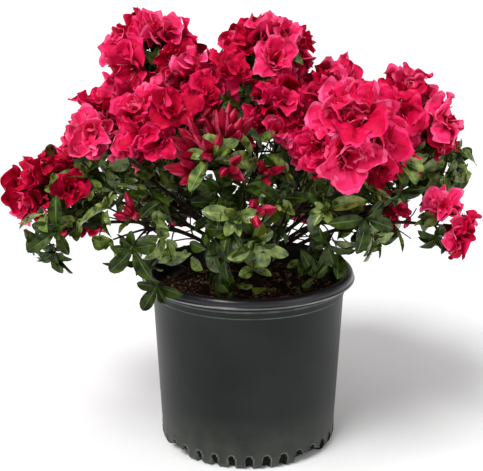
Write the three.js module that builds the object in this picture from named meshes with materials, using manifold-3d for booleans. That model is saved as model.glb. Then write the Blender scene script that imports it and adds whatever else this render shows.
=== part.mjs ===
// A double-flowered azalea in full bloom, in its round nursery pot.
// Millimetres, +Z up. The origin is the centre of the pot's flat underside, and -Y is the plant's front.
import * as THREE from "three";
import { mergeVertices } from "three/addons/utils/BufferGeometryUtils.js";
import Module from "manifold-3d";

const wasm = await Module();
wasm.setup();

// ---- Driving dimensions ----

const GAP = 0.3; // air left between solids that rest on each other

// Pot: a thin plastic shell with an overhanging rim, a shallow band under it and a rounded foot with notches.
const POT_SIDES = 34;
const POT_HEIGHT = 194;
const RIM_RADIUS = 115;
const RIM_DROP = 10; // height of the rim's outer skirt
const RIM_ROUND = 3;
const BODY_TOP_RADIUS = 104;
const BODY_FOOT_RADIUS = 95.5;
const BASE_RADIUS = 90;
const BAND_HEIGHT = 24; // of the wider band at the top, rim included
const BAND_STEP = 1.4;
const WALL = 2.2;
const FLOOR = 4.4;
const FOOT_ROUND = 12;
const DRAIN_TURNS = [43.5, -55.5, 124.5, -136.5]; // degrees round the pot
const DRAIN_SIDES = 12;
const DRAIN_WIDTH = 42;
const DRAIN_HEIGHT = 11;
const DRAIN_DEPTH = 14;

// Potting mix: fills the pot to just under the rim and rises towards the stem.
const SOIL_EDGE_HEIGHT = 168;
const SOIL_MOUND = 6;
const SOIL_GAP = 0.8; // to the pot's wall, more than GAP because the wall has flat sides

// Trunk: one short woody foot that all the boughs leave.
const TRUNK_SIDES = 12;
const TRUNK_STEPS = 7;
const TRUNK_FOOT = new THREE.Vector3(4, 2, SOIL_EDGE_HEIGHT + SOIL_MOUND + GAP);
const TRUNK_HEIGHT = 62;
const TRUNK_LEAN = new THREE.Vector3(-3, 3, 0);
const TRUNK_RADIUS = 10;
const TRUNK_TIP_RADIUS = 7.5;
const ROOT_FLARE = 9;
const ROOT_LOBES = 4;
const ROOT_LOBE_DEPTH = 0.16;
const FLARE_FADE = 9; // how fast flare and lobes fade on the way up
const TRUNK_ROUGHNESS = 1.05; // limbs start from this much of the trunk's radius

// Boughs: one tapering limb for each spray of the crown.
const BOUGH_SIDES = 5;
const BOUGH_STEPS = 5;
const BOUGH_RADIUS = 3.3;
const BOUGH_TIP_RADIUS = 2.3;
const BOUGH_RISE = 0.3; // how far a bough climbs before it turns outwards, as a share of its length
const BOUGH_RUN = 0.34; // how far it runs out from the trunk meanwhile
const BOUGH_LAUNCH = 0.4; // share of its own radius by which a limb starts off the trunk
const HIGHEST_START = 0.97; // share of the trunk's height
const LOWEST_START = 0.25;
const SHOOT_RADIUS = 2.4;
const SHOOT_STARTS = [0.16, 0.22, 0.28, 0.34]; // shares of the trunk's height, tried in this order
const SHOOT_BEND = 0.5; // where a shoot's stem is highest, as a share of the way to its spray's middle
const SHOOT_END = 0.85; // where it ends
const SHOOT_ARCH = 4;
const BOUGH_BALLS = 70; // a limb is tested for room as this many balls along its line
const STEM_BALLS = 16;
const SHOOT_BALLS = 40;
const TRUNK_BALLS = 40;
const TRUNK_ROOM = 1.2; // of the trunk's radius, where its lobes swell
const LIMB_CLEARANCE = 0.8;
const START_TURNS = [0, 14, -14, 28, -28, 42, -42, 56, -56]; // degrees round the trunk, tried in this order
const START_DROPS = [0, 8, -8, 16, -16, 24, -24]; // millimetres along the trunk, tried in this order

// Twigs and the spray's stem, which the twigs leave in its outer part.
const TWIG_SIDES = 3;
const TWIG_RADIUS = 1.15;
const STEM_SIDES = 4;
const STEM_TIP_RADIUS = 2;
const STEM_LENGTH = 0.8; // share of the spray's size
const FIRST_TWIG = 0.5; // share of the stem's length
const LAST_TWIG = 0.98;

// Leaves, blossoms and buds.
const HUB_RADIUS = 2.2; // of the knot from which the leaves of a whorl leave
const LEAVES_IN_WHORL = 5;
const LEAF_LEAN = 70; // degrees from the twig's axis
const LEAF_LENGTH = 37;
const LEAF_WIDTH = 14.5;
const LEAF_FOLD = 0.07; // how far its sides rise, as a share of its length
const LEAF_DROOP = 0.1; // how far its tip hangs
const LEAF_BELLY = 0.5; // where it is widest
const BLOSSOM_RADIUS = 28.5;
const BLOSSOM_DEPTH = 25;
const BLOSSOM_SIZES = [1, 0.85, 0.7]; // a blossom takes the largest of these that has room
const BLOSSOM_HEART = 0.72; // height of its heart, as a share of its depth
const PETALS = 5;
const PETAL_NOTCH = 0.84; // of the blossom's radius
const NOTCH_DEPTH = 0.85; // of the blossom's depth
const BUD_LENGTH = 25;
const BUD_WIDTH = 8.5;
const BUD_BELLY = 0.55; // where it is widest
const BUD_SIDES = 4;
const BUD_ROOT = 1.5; // how deep it is sunk in its twig
const BUD_LEAN = 24;
const BUD_ROOM = 1.15; // share of its length that is tested for room
const BUDS_IN_GROUP = 3;

// Growth.
const SEED = 4021;
const SEED_STEP = 15013; // each spray has its own seed, this far from the one before
const TIP_PULLS = [1, 0.8, 0.6, 0.4]; // a tip tries these shares of its distance from the spray's middle
const CROWDING = 0.92; // share of a blossom's width that its neighbours keep out of
const CELL_MARGIN = 0.5; // least distance from a piece to the border of its spray's own space
const LIMB_MARGIN = 1.2; // least distance from a piece to a limb
const CROWN_HEART = new THREE.Vector3(0, 0, 235); // the sprays face away from this point
const UPWARD_PULL = 0.35; // how far the sprays turn up to the light
const CAP_ANGLE = 122; // a spray's tips spread over the directions within this angle of the one it faces
const WHORL_INSET = 0.4; // a whorl stands back from its spray's border by this share of a leaf
const GOLDEN_TURN = Math.PI * (3 - Math.sqrt(5));

// Each spray of the crown: turn is its direction round the pot in degrees, from the front and positive to
// the right, reach and height place its middle, and size is its radius. The rest counts its tips by kind.
const SPRAYS = [
  { name: "top_left", turn: -96, reach: 103, height: 412, size: 40, blossoms: 7, buds: 0, whorls: 1 },
  { name: "top_right", turn: 90, reach: 15, height: 409, size: 40, blossoms: 7, buds: 0, whorls: 3 },
  { name: "upper_middle", turn: -30, reach: 77, height: 379, size: 48, blossoms: 6, buds: 0, whorls: 3 },
  { name: "upper_left", turn: -80, reach: 150, height: 332, size: 47, blossoms: 6, buds: 0, whorls: 2 },
  { name: "front_left", turn: -36, reach: 132, height: 354, size: 46, blossoms: 6, buds: 1, whorls: 2 },
  { name: "far_left", turn: -76, reach: 193, height: 284, size: 47, blossoms: 6, buds: 0, whorls: 2 },
  { name: "front_middle", turn: -11, reach: 141, height: 338, size: 46, blossoms: 0, buds: 6, whorls: 6 },
  { name: "middle_right", turn: 16, reach: 97, height: 357, size: 48, blossoms: 6, buds: 0, whorls: 3 },
  { name: "upper_right", turn: 87, reach: 79, height: 370, size: 42, blossoms: 5, buds: 0, whorls: 1 },
  { name: "front_right", turn: 28, reach: 168, height: 361, size: 41, blossoms: 6, buds: 0, whorls: 3 },
  { name: "right", turn: 83, reach: 159, height: 351, size: 46, blossoms: 6, buds: 0, whorls: 2 },
  { name: "right_shoulder", turn: 63, reach: 148, height: 318, size: 41, blossoms: 3, buds: 0, whorls: 4 },
  { name: "far_right", turn: 78, reach: 202, height: 252, size: 28, blossoms: 2, buds: 0, whorls: 3 },
  { name: "centre", turn: 5, reach: 124, height: 322, size: 40, blossoms: 0, buds: 2, whorls: 9 },
  { name: "low_left", turn: -67, reach: 206, height: 257, size: 38, blossoms: 0, buds: 0, whorls: 6 },
  { name: "low_front_left", turn: -39, reach: 164, height: 272, size: 48, blossoms: 0, buds: 1, whorls: 7 },
  { name: "low_front", turn: -1, reach: 160, height: 292, size: 46, blossoms: 0, buds: 1, whorls: 9 },
  { name: "low_front_right", turn: 36, reach: 156, height: 285, size: 46, blossoms: 0, buds: 0, whorls: 6 },
  { name: "low_right", turn: 98, reach: 130, height: 246, size: 42, blossoms: 2, buds: 0, whorls: 3 },
  { name: "back_left", turn: -135, reach: 148, height: 332, size: 52, blossoms: 6, buds: 0, whorls: 3 },
  { name: "back_middle", turn: 178, reach: 152, height: 356, size: 54, blossoms: 7, buds: 0, whorls: 3 },
  { name: "back_right", turn: 133, reach: 151, height: 320, size: 52, blossoms: 6, buds: 0, whorls: 3 },
  { name: "top_back", turn: 172, reach: 78, height: 395, size: 48, blossoms: 5, buds: 0, whorls: 2 },
  { name: "low_back_left", turn: -149, reach: 184, height: 257, size: 48, blossoms: 3, buds: 1, whorls: 5 },
  { name: "low_back_right", turn: 154, reach: 183, height: 261, size: 48, blossoms: 3, buds: 1, whorls: 5 },
  { name: "left_flank", turn: -108, reach: 198, height: 270, size: 46, blossoms: 3, buds: 0, whorls: 4 },
  { name: "right_flank", turn: 104, reach: 205, height: 292, size: 44, blossoms: 0, buds: 1, whorls: 6 },
];

// Short leafy shoots that leave the trunk just above the soil.
const SHOOTS = [
  { name: "shoot_left", turn: -46, reach: 120, height: 212, size: 36, blossoms: 0, buds: 0, whorls: 3 },
  { name: "shoot_front", turn: -8, reach: 72, height: 207, size: 34, blossoms: 0, buds: 0, whorls: 4 },
  { name: "shoot_right", turn: 51, reach: 80, height: 204, size: 32, blossoms: 0, buds: 0, whorls: 4 },
];

// Where a form is tested for room, as shares of the way from its root.
const TWIG_CHECKS = [0.35, 0.5, 0.65, 0.8, 1];
const LEAF_CHECKS = [0.5, 0.75, 1];
const PETAL_CHECKS = [0.5, 1];

// ---- Materials ----

const potPlastic = new THREE.MeshStandardMaterial({ color: 0x2b302f, roughness: 0.5, metalness: 0 });
const pottingMix = new THREE.MeshStandardMaterial({ color: 0x2c1a12, roughness: 0.95, metalness: 0 });
const bark = new THREE.MeshStandardMaterial({ color: 0x4a3526, roughness: 0.9, metalness: 0 });
const blossomSpray = new THREE.MeshStandardMaterial({ color: 0xc8143f, roughness: 0.6, metalness: 0 });
const leafSpray = new THREE.MeshStandardMaterial({ color: 0x2f4f25, roughness: 0.5, metalness: 0 });

// ---- Small tools ----

const UP = new THREE.Vector3(0, 0, 1);

// A seeded stream of numbers from 0 to 1, so that the plant is the same each time.
function seededRandom(seed) {
  let state = seed >>> 0;
  return () => {
    state = (Math.imul(state, 1664525) + 1013904223) >>> 0;
    return state / 4294967296;
  };
}

function radians(degrees) {
  return (degrees * Math.PI) / 180;
}

// The point at a turn from the front, a reach from the pot's axis and a height.
function polarPoint(turn, reach, height) {
  return new THREE.Vector3(reach * Math.sin(radians(turn)), -reach * Math.cos(radians(turn)), height);
}

function mix(a, b, share) {
  return a.clone().lerp(b, share);
}

// Two unit vectors square to a direction, the second one turned as far upwards as it goes.
function frameOf(direction) {
  const helper = Math.abs(direction.z) > 0.98 ? new THREE.Vector3(0, 1, 0) : UP;
  const side = helper.clone().cross(direction).normalize();
  const rise = direction.clone().cross(side).normalize();
  return { side, rise };
}

// A direction that leans away from another by an angle, towards a turn round it.
function leaning(direction, angle, turn) {
  const { side, rise } = frameOf(direction);
  return direction
    .clone()
    .multiplyScalar(Math.cos(angle))
    .addScaledVector(side, Math.sin(angle) * Math.cos(turn))
    .addScaledVector(rise, Math.sin(angle) * Math.sin(turn))
    .normalize();
}

function geometryOf(points, faces) {
  const geometry = new THREE.BufferGeometry();
  const numbers = points.flatMap((point) => point.toArray());
  geometry.setAttribute("position", new THREE.Float32BufferAttribute(numbers, 3));
  geometry.setIndex(faces.flat());
  return geometry;
}

// A closed three.js geometry as a manifold-3d solid.
function solidOf(geometry) {
  const bare = geometry.clone();
  bare.deleteAttribute("normal");
  bare.deleteAttribute("uv");
  const merged = mergeVertices(bare, 1e-4);
  return new wasm.Manifold(
    new wasm.Mesh({
      numProp: 3,
      vertProperties: new Float32Array(merged.attributes.position.array),
      triVerts: new Uint32Array(merged.index.array),
    }),
  );
}

function geometryFromSolid(solid) {
  const mesh = solid.getMesh();
  const geometry = new THREE.BufferGeometry();
  geometry.setAttribute("position", new THREE.BufferAttribute(mesh.vertProperties, 3));
  geometry.setIndex(new THREE.BufferAttribute(mesh.triVerts, 1));
  return geometry;
}

// Joins solids that grow into each other and keeps the one body they make.
function joined(solids) {
  const bodies = wasm.Manifold.union(solids).decompose();
  return bodies.reduce((largest, body) => (body.volume() > largest.volume() ? body : largest));
}

// A closed tube along a curve, whose radius may change with the share of the way and the turn round it.
function taperedTube(curve, radiusAt, sides, steps) {
  const points = [];
  const faces = [];
  for (let step = 0; step <= steps; step++) {
    const share = step / steps;
    const centre = curve.getPoint(share);
    const { side, rise } = frameOf(curve.getTangent(share));
    for (let k = 0; k < sides; k++) {
      const turn = (2 * Math.PI * k) / sides;
      const radius = radiusAt(share, turn);
      const across = side.clone().multiplyScalar(radius * Math.cos(turn));
      points.push(centre.clone().add(across).addScaledVector(rise, radius * Math.sin(turn)));
    }
  }
  for (let step = 0; step < steps; step++) {
    for (let k = 0; k < sides; k++) {
      const a = step * sides + k;
      const b = step * sides + ((k + 1) % sides);
      faces.push([a, b, a + sides], [b, b + sides, a + sides]);
    }
  }
  const last = steps * sides;
  for (let k = 1; k < sides - 1; k++) {
    faces.push([0, k + 1, k], [last, last + k, last + k + 1]);
  }
  return geometryOf(points, faces);
}

// ---- Pot and potting mix ----

function bodyRadiusAt(height) {
  const share = (height - FOOT_ROUND) / (POT_HEIGHT - RIM_DROP - FOOT_ROUND);
  return BODY_FOOT_RADIUS + (BODY_TOP_RADIUS - BODY_FOOT_RADIUS) * share;
}

// Turns a profile of [radius, height] pairs round the Z axis, from the axis below to the axis above.
function turned(profile, sides) {
  const points = profile.map(([radius, height]) => new THREE.Vector2(radius, height));
  const geometry = new THREE.LatheGeometry(points, sides);
  geometry.rotateX(Math.PI / 2);
  return geometry;
}

function makePot() {
  const bandFoot = POT_HEIGHT - BAND_HEIGHT;
  const innerTop = BODY_TOP_RADIUS + BAND_STEP - WALL;
  const outside = [
    [0, 0],
    [BASE_RADIUS, 0],
    [BODY_FOOT_RADIUS - 1, FOOT_ROUND / 2],
    [BODY_FOOT_RADIUS, FOOT_ROUND],
    [bodyRadiusAt(bandFoot), bandFoot],
    [bodyRadiusAt(bandFoot) + BAND_STEP, bandFoot + BAND_STEP],
    [BODY_TOP_RADIUS + BAND_STEP, POT_HEIGHT - RIM_DROP + WALL],
  ];
  const rim = [
    [RIM_RADIUS - WALL, POT_HEIGHT - RIM_DROP + WALL],
    [RIM_RADIUS - WALL, POT_HEIGHT - RIM_DROP],
    [RIM_RADIUS, POT_HEIGHT - RIM_DROP],
    [RIM_RADIUS, POT_HEIGHT - RIM_ROUND],
    [RIM_RADIUS - RIM_ROUND, POT_HEIGHT],
    [innerTop + RIM_ROUND * 2, POT_HEIGHT],
    [innerTop, POT_HEIGHT - RIM_ROUND],
  ];
  const inside = [
    [BODY_FOOT_RADIUS - WALL, FOOT_ROUND * 1.5],
    [BASE_RADIUS - WALL * 3, FLOOR],
    [0, FLOOR],
  ];
  const shell = solidOf(turned([...outside, ...rim, ...inside], POT_SIDES));
  const notches = DRAIN_TURNS.map((turn) => {
    const notch = new THREE.CylinderGeometry(1, 1, 2 * DRAIN_DEPTH, DRAIN_SIDES);
    notch.scale(DRAIN_WIDTH / 2, 1, DRAIN_HEIGHT);
    notch.translate(0, -BODY_FOOT_RADIUS, 0);
    notch.rotateZ(radians(turn));
    return solidOf(notch);
  });
  return geometryFromSolid(notches.reduce((pot, notch) => pot.subtract(notch), shell));
}

// The mix fills the shell's inside, less the gap that it keeps to the plastic.
function makeSoil() {
  const edge = BODY_TOP_RADIUS - WALL - SOIL_GAP;
  const top = SOIL_EDGE_HEIGHT + SOIL_MOUND;
  const fill = turned(
    [
      [0, FLOOR + GAP],
      [BASE_RADIUS - WALL * 3 - SOIL_GAP, FLOOR + GAP],
      [BODY_FOOT_RADIUS - WALL - SOIL_GAP, FOOT_ROUND * 1.5],
      [edge, SOIL_EDGE_HEIGHT],
      [edge / 2, top],
      [0, top],
    ],
    POT_SIDES,
  );
  return geometryFromSolid(solidOf(fill));
}

// ---- Trunk and boughs ----

const trunkCurve = new THREE.LineCurve3(
  TRUNK_FOOT,
  TRUNK_FOOT.clone().add(TRUNK_LEAN).addScaledVector(UP, TRUNK_HEIGHT),
);

function trunkRadiusAt(share) {
  const flare = ROOT_FLARE * Math.exp(-FLARE_FADE * share);
  return TRUNK_RADIUS + (TRUNK_TIP_RADIUS - TRUNK_RADIUS) * share + flare;
}

// The root flare swells into lobes. The foot ring stays level, so that the cut at the soil is flat.
function makeTrunk() {
  const lobeDepth = (share) => ROOT_LOBE_DEPTH * Math.exp(-FLARE_FADE * share);
  const swelling = (share, turn) => 1 + lobeDepth(share) * Math.cos(ROOT_LOBES * turn);
  const radiusAt = (share, turn) => trunkRadiusAt(share) * swelling(share, turn);
  const upright = new THREE.LineCurve3(new THREE.Vector3(), new THREE.Vector3(0, 0, TRUNK_HEIGHT));
  const geometry = taperedTube(upright, radiusAt, TRUNK_SIDES, TRUNK_STEPS);
  const lean = new THREE.Matrix4().set(
    ...[1, 0, TRUNK_LEAN.x / TRUNK_HEIGHT, TRUNK_FOOT.x],
    ...[0, 1, TRUNK_LEAN.y / TRUNK_HEIGHT, TRUNK_FOOT.y],
    ...[0, 0, 1, TRUNK_FOOT.z],
    ...[0, 0, 0, 1],
  );
  return geometry.applyMatrix4(lean);
}

// Where a limb leaves the trunk, at a share of its height and a turn round it, just clear of it.
function trunkSide(share, turn, limbRadius) {
  const outward = polarPoint(turn, 1, 0);
  const radius = trunkRadiusAt(share) * TRUNK_ROUGHNESS + GAP + limbRadius * BOUGH_LAUNCH;
  return trunkCurve.getPoint(share).addScaledVector(outward, radius);
}

// A bough's line: it leaves the trunk rising outwards and bends round until it points at its spray.
function boughCurve(spray, startShare, startTurn) {
  const centre = polarPoint(spray.turn, spray.reach, spray.height);
  const start = trunkSide(startShare, startTurn, BOUGH_RADIUS);
  const length = start.distanceTo(centre);
  const bend = start
    .clone()
    .addScaledVector(polarPoint(startTurn, 1, 0), length * BOUGH_RUN)
    .addScaledVector(UP, length * BOUGH_RISE);
  const aim = centre.clone().sub(bend).normalize();
  const tip = centre.clone().addScaledVector(aim, -spray.size);
  return new THREE.QuadraticBezierCurve3(start, bend, tip);
}

// A limb as balls along its line, which is what the clearances are measured to.
function ballsAlong(curve, radiusAt, steps) {
  return Array.from({ length: steps + 1 }, (_, i) => ({
    centre: curve.getPoint(i / steps),
    radius: radiusAt(i / steps),
  }));
}

function boughRadiusAt(share) {
  return BOUGH_RADIUS + (BOUGH_TIP_RADIUS - BOUGH_RADIUS) * share;
}

function clearOf(balls, others, margin) {
  const isApart = (a, b) => a.centre.distanceTo(b.centre) > a.radius + b.radius + margin;
  return balls.every((a) => others.every((b) => isApart(a, b)));
}

// A limb for each spray: the bough, if it has one, and the spray's own stem, which carries on its line.
function boughLimb(spray, startShare, startTurn) {
  const curve = boughCurve(spray, startShare, startTurn);
  const aim = curve.getTangent(1);
  const root = curve.getPoint(1).addScaledVector(aim, GAP);
  const stemCurve = new THREE.LineCurve3(root, root.clone().addScaledVector(aim, STEM_LENGTH * spray.size));
  return {
    spray,
    curve,
    stemCurve,
    stemRadius: BOUGH_TIP_RADIUS,
    stemSteps: 1,
    bough: ballsAlong(curve, boughRadiusAt, BOUGH_BALLS),
    stem: ballsAlong(stemCurve, () => BOUGH_TIP_RADIUS, STEM_BALLS),
  };
}

// A shoot has no bough: its own stem leaves the trunk low down.
function shootLimb(spray, startShare, startTurn) {
  const centre = polarPoint(spray.turn, spray.reach, spray.height);
  const start = trunkSide(startShare, startTurn, SHOOT_RADIUS);
  const bend = mix(start, centre, SHOOT_BEND).setZ(Math.max(start.z, centre.z) + SHOOT_ARCH);
  const stemCurve = new THREE.QuadraticBezierCurve3(start, bend, mix(start, centre, SHOOT_END));
  return {
    spray,
    stemCurve,
    stemRadius: SHOOT_RADIUS,
    stemSteps: 3,
    bough: [],
    stem: ballsAlong(stemCurve, () => SHOOT_RADIUS, SHOOT_BALLS),
  };
}

// Each limb takes the first start from which its whole line is clear of the limbs before it.
function firstClear(options, placed, name) {
  const clear = options.find((option) =>
    placed.every((other) =>
      clearOf([...option.bough, ...option.stem], [...other.bough, ...other.stem], LIMB_CLEARANCE),
    ),
  );
  if (!clear) throw new Error("no clear way from the trunk to " + name);
  return clear;
}

// Steep boughs leave the trunk high up and flat ones low down, so they are placed in that order.
function placeLimbs(sprays, shoots) {
  const middle = trunkCurve.getPoint(0.5);
  const steepness = (spray) => {
    const line = polarPoint(spray.turn, spray.reach, spray.height).sub(middle);
    return line.z / line.length();
  };
  const placed = [];
  [...sprays]
    .sort((a, b) => steepness(b) - steepness(a))
    .forEach((spray, rank) => {
      const share = HIGHEST_START - ((HIGHEST_START - LOWEST_START) * rank) / (sprays.length - 1);
      const options = START_DROPS.flatMap((drop) =>
        START_TURNS.map((turn) => {
          const startShare = Math.min(HIGHEST_START, Math.max(LOWEST_START, share - drop / TRUNK_HEIGHT));
          return boughLimb(spray, startShare, spray.turn + turn);
        }),
      );
      placed.push(firstClear(options, placed, spray.name));
    });
  shoots.forEach((spray) => {
    const options = START_TURNS.flatMap((turn) =>
      SHOOT_STARTS.map((share) => shootLimb(spray, share, spray.turn + turn)),
    );
    placed.push(firstClear(options, placed, spray.name));
  });
  return placed;
}

// ---- Leaves, blossoms and buds, each a closed form that ends its twig ----

// The outline of one leaf, from its right side over its tip to its left. It is folded, and its tip hangs.
function leafOutline(tip, along, upper, length, width) {
  const side = along.clone().cross(upper).normalize();
  const normal = side.clone().cross(along).normalize();
  const at = (run, across, rise) =>
    tip.clone().addScaledVector(along, run).addScaledVector(side, across).addScaledVector(normal, rise);
  return [
    at(LEAF_BELLY * length, width / 2, LEAF_FOLD * length),
    at(length, 0, -LEAF_DROOP * length),
    at(LEAF_BELLY * length, -width / 2, LEAF_FOLD * length),
  ];
}

// The leaves that stand round a tip, whose axis is their upper side.
function whorlLeaves(tip, axis, phase, random) {
  return Array.from({ length: LEAVES_IN_WHORL }, (_, k) => {
    const turn = phase + (k * 2 * Math.PI) / LEAVES_IN_WHORL;
    const along = leaning(axis, varied(radians(LEAF_LEAN), 0.86, 0.28, random), turn);
    const length = varied(LEAF_LENGTH, 0.85, 0.3, random);
    const width = varied(LEAF_WIDTH, 0.85, 0.3, random);
    return leafOutline(tip, along, axis, length, width);
  });
}

// A star of petals round the axis, with a notch between each two. Each petal is its notch and its tip.
function petalOutline(tip, axis, radius, depth, phase) {
  const step = (2 * Math.PI) / PETALS;
  const at = (turn, out, up) =>
    tip.clone().addScaledVector(leaning(axis, Math.PI / 2, turn), out).addScaledVector(axis, up);
  return Array.from({ length: PETALS }, (_, k) => [
    at(phase + (k - 0.5) * step, PETAL_NOTCH * radius, NOTCH_DEPTH * depth),
    at(phase + k * step, radius, depth),
  ]);
}

// A three-sided twig that opens into a form: sectors are the runs of its outline, in order round the axis,
// and heart is the one point that closes it above. Each sector's underside runs to the twig's nearest edge.
function endedTwig(start, foot, axis, heart, sectors, phase) {
  const step = (2 * Math.PI) / TWIG_SIDES;
  const edges = Array.from({ length: TWIG_SIDES }, (_, k) => leaning(axis, Math.PI / 2, step * k));
  const ringAt = (centre) => edges.map((edge) => centre.clone().addScaledVector(edge, TWIG_RADIUS));
  const points = [heart, ...ringAt(foot), ...ringAt(start)];
  const faces = [];
  const top = (k) => 1 + (k % TWIG_SIDES);
  const low = (k) => 1 + TWIG_SIDES + (k % TWIG_SIDES);
  for (let k = 0; k < TWIG_SIDES; k++) {
    faces.push([low(k), low(k + 1), top(k)], [low(k + 1), top(k + 1), top(k)]);
  }
  faces.push([low(0), low(2), low(1)]);
  const runs = sectors.map((sector) => sector.map((point) => points.push(point) - 1));
  const turnOf = (k) => phase / (2 * Math.PI) + k / sectors.length;
  const nearest = (k) => Math.round(TWIG_SIDES * turnOf(k));
  runs.forEach((run, k) => {
    const next = runs[(k + 1) % runs.length][0];
    [...run, next].forEach((corner, i, all) => {
      if (i > 0) faces.push([0, all[i - 1], corner], [top(nearest(k)), corner, all[i - 1]]);
    });
    for (let edge = nearest(k); edge < nearest(k + 1); edge++) {
      faces.push([top(edge), top(edge + 1), next]);
    }
  });
  return geometryOf(points, faces);
}

// A closed bud: a spindle with flat sides, widest past its middle.
function budGeometry(tip, along, length, width) {
  const belly = tip.clone().addScaledVector(along, BUD_BELLY * length);
  const points = [tip.clone().addScaledVector(along, -BUD_ROOT), tip.clone().addScaledVector(along, length)];
  const faces = [];
  for (let k = 0; k < BUD_SIDES; k++) {
    const edge = leaning(along, Math.PI / 2, (2 * Math.PI * k) / BUD_SIDES);
    points.push(belly.clone().addScaledVector(edge, width / 2));
    const a = 2 + k;
    const b = 2 + ((k + 1) % BUD_SIDES);
    faces.push([0, b, a], [1, a, b]);
  }
  return geometryOf(points, faces);
}

// ---- The crown's growth ----

// A spray's own space: the points nearer to it than to any other spray, by distance less size.
function insideOwnSpace(point, own, all) {
  const reach = point.distanceToSquared(own.centre) - own.size ** 2;
  return all.every((other) => {
    if (other === own) return true;
    const otherReach = point.distanceToSquared(other.centre) - other.size ** 2;
    return otherReach - reach > 2 * CELL_MARGIN * own.centre.distanceTo(other.centre);
  });
}

function clearOfPot(point, margin) {
  const radius = Math.hypot(point.x, point.y);
  if (point.z > POT_HEIGHT + margin) return true;
  const isInside = radius < BODY_TOP_RADIUS - 2 * WALL - margin;
  if (isInside) return point.z > SOIL_EDGE_HEIGHT + SOIL_MOUND + margin;
  return radius > RIM_RADIUS + margin;
}

function clearOfLimbs(point, limbs) {
  const isApart = (ball) => point.distanceTo(ball.centre) > ball.radius + LIMB_MARGIN;
  return limbs.every((limb) => limb.every(isApart));
}

// True if all the points are the spray's to fill, clear of the pot and of every other limb.
function isClear(points, own, all, limbs) {
  const isFree = (point) =>
    insideOwnSpace(point, own, all) && clearOfPot(point, LIMB_MARGIN) && clearOfLimbs(point, limbs);
  return points.every(isFree);
}

// A blossom fills a cone, from its tip to its rim. Returns true if a point lies in it.
function inCone(point, cone) {
  const fromTip = point.clone().sub(cone.tip);
  const height = fromTip.dot(cone.axis);
  if (height < 0 || height > cone.depth) return false;
  const across = Math.sqrt(Math.max(0, fromTip.lengthSq() - height * height));
  return across < (CROWDING * cone.radius * height) / cone.depth;
}

// Points along the straight lines from one point to others.
function lineSamples(from, targets, shares) {
  return targets.flatMap((target) => shares.map((share) => mix(from, target, share)));
}

// A length that varies by chance: low is its least share and width the spread above it.
function varied(length, low, width, random) {
  return length * (low + width * random());
}

// The direction of each tip from the spray's middle, spread evenly over a cap that faces out and up.
function tipDirections(own, count, random) {
  const outward = own.centre.clone().sub(CROWN_HEART).normalize();
  outward.addScaledVector(UP, UPWARD_PULL).normalize();
  const phase = random() * 2 * Math.PI;
  return Array.from({ length: count }, (_, k) => {
    const angle = Math.acos(1 - ((k + 0.5) / count) * (1 - Math.cos(radians(CAP_ANGLE))));
    return leaning(outward, angle, phase + k * GOLDEN_TURN);
  });
}

// A twig that opens into a blossom, which becomes one of the cones that its spray's later forms keep out of.
function blossomTwig(start, tip, axis, isFree, cones, random) {
  const phase = 2 * Math.PI * random();
  const fullRadius = varied(BLOSSOM_RADIUS, 0.9, 0.16, random);
  const size = BLOSSOM_SIZES.find((share) => {
    const petals = petalOutline(tip, axis, fullRadius * share, BLOSSOM_DEPTH * share, phase);
    return isFree(lineSamples(tip, petals.flat(), PETAL_CHECKS));
  });
  if (!size) return [];
  const radius = fullRadius * size;
  const depth = BLOSSOM_DEPTH * size;
  cones.push({ tip, axis, radius, depth });
  const heart = tip.clone().addScaledVector(axis, BLOSSOM_HEART * depth);
  return [endedTwig(start, tip, axis, heart, petalOutline(tip, axis, radius, depth, phase), phase)];
}

// A twig and the group of buds on its tip.
function budTwig(start, tip, axis, isFree, random) {
  const phase = 2 * Math.PI * random();
  const far = tip.clone().addScaledVector(axis, BUD_LENGTH * BUD_ROOM);
  if (!isFree(lineSamples(tip, [far], PETAL_CHECKS))) return [];
  const buds = Array.from({ length: BUDS_IN_GROUP }, (_, k) => {
    const along = leaning(axis, radians(BUD_LEAN), phase + (k * 2 * Math.PI) / BUDS_IN_GROUP);
    return budGeometry(tip, along, varied(BUD_LENGTH, 0.85, 0.3, random), BUD_WIDTH);
  });
  return [taperedTube(new THREE.LineCurve3(start, tip), () => TWIG_RADIUS, TWIG_SIDES, 1), ...buds];
}

// A twig that ends in a whorl of leaves, less the leaves that have no room.
function whorlTwig(start, tip, axis, isFree, random) {
  const phase = 2 * Math.PI * random();
  const step = (2 * Math.PI) / LEAVES_IN_WHORL;
  const leaves = whorlLeaves(tip, axis, phase, random);
  const kept = leaves.map((leaf) => (isFree(lineSamples(tip, leaf, LEAF_CHECKS)) ? leaf : []));
  if (kept.flat().length === 0) return [];
  const sectors = kept.map((leaf, k) => {
    const notch = leaning(axis, Math.PI / 2, phase + (k - 0.5) * step);
    return [tip.clone().addScaledVector(notch, HUB_RADIUS), ...leaf];
  });
  const foot = tip.clone().addScaledVector(axis, -HUB_RADIUS);
  const heart = tip.clone().addScaledVector(axis, HUB_RADIUS);
  return [endedTwig(start, foot, axis, heart, sectors, phase)];
}

function endedTwigs(kind, start, tip, axis, isFree, cones, random) {
  if (kind === "blossom") return blossomTwig(start, tip, axis, isFree, cones, random);
  if (kind === "buds") return budTwig(start, tip, axis, isFree, random);
  return whorlTwig(start, tip, axis, isFree, random);
}

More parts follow.
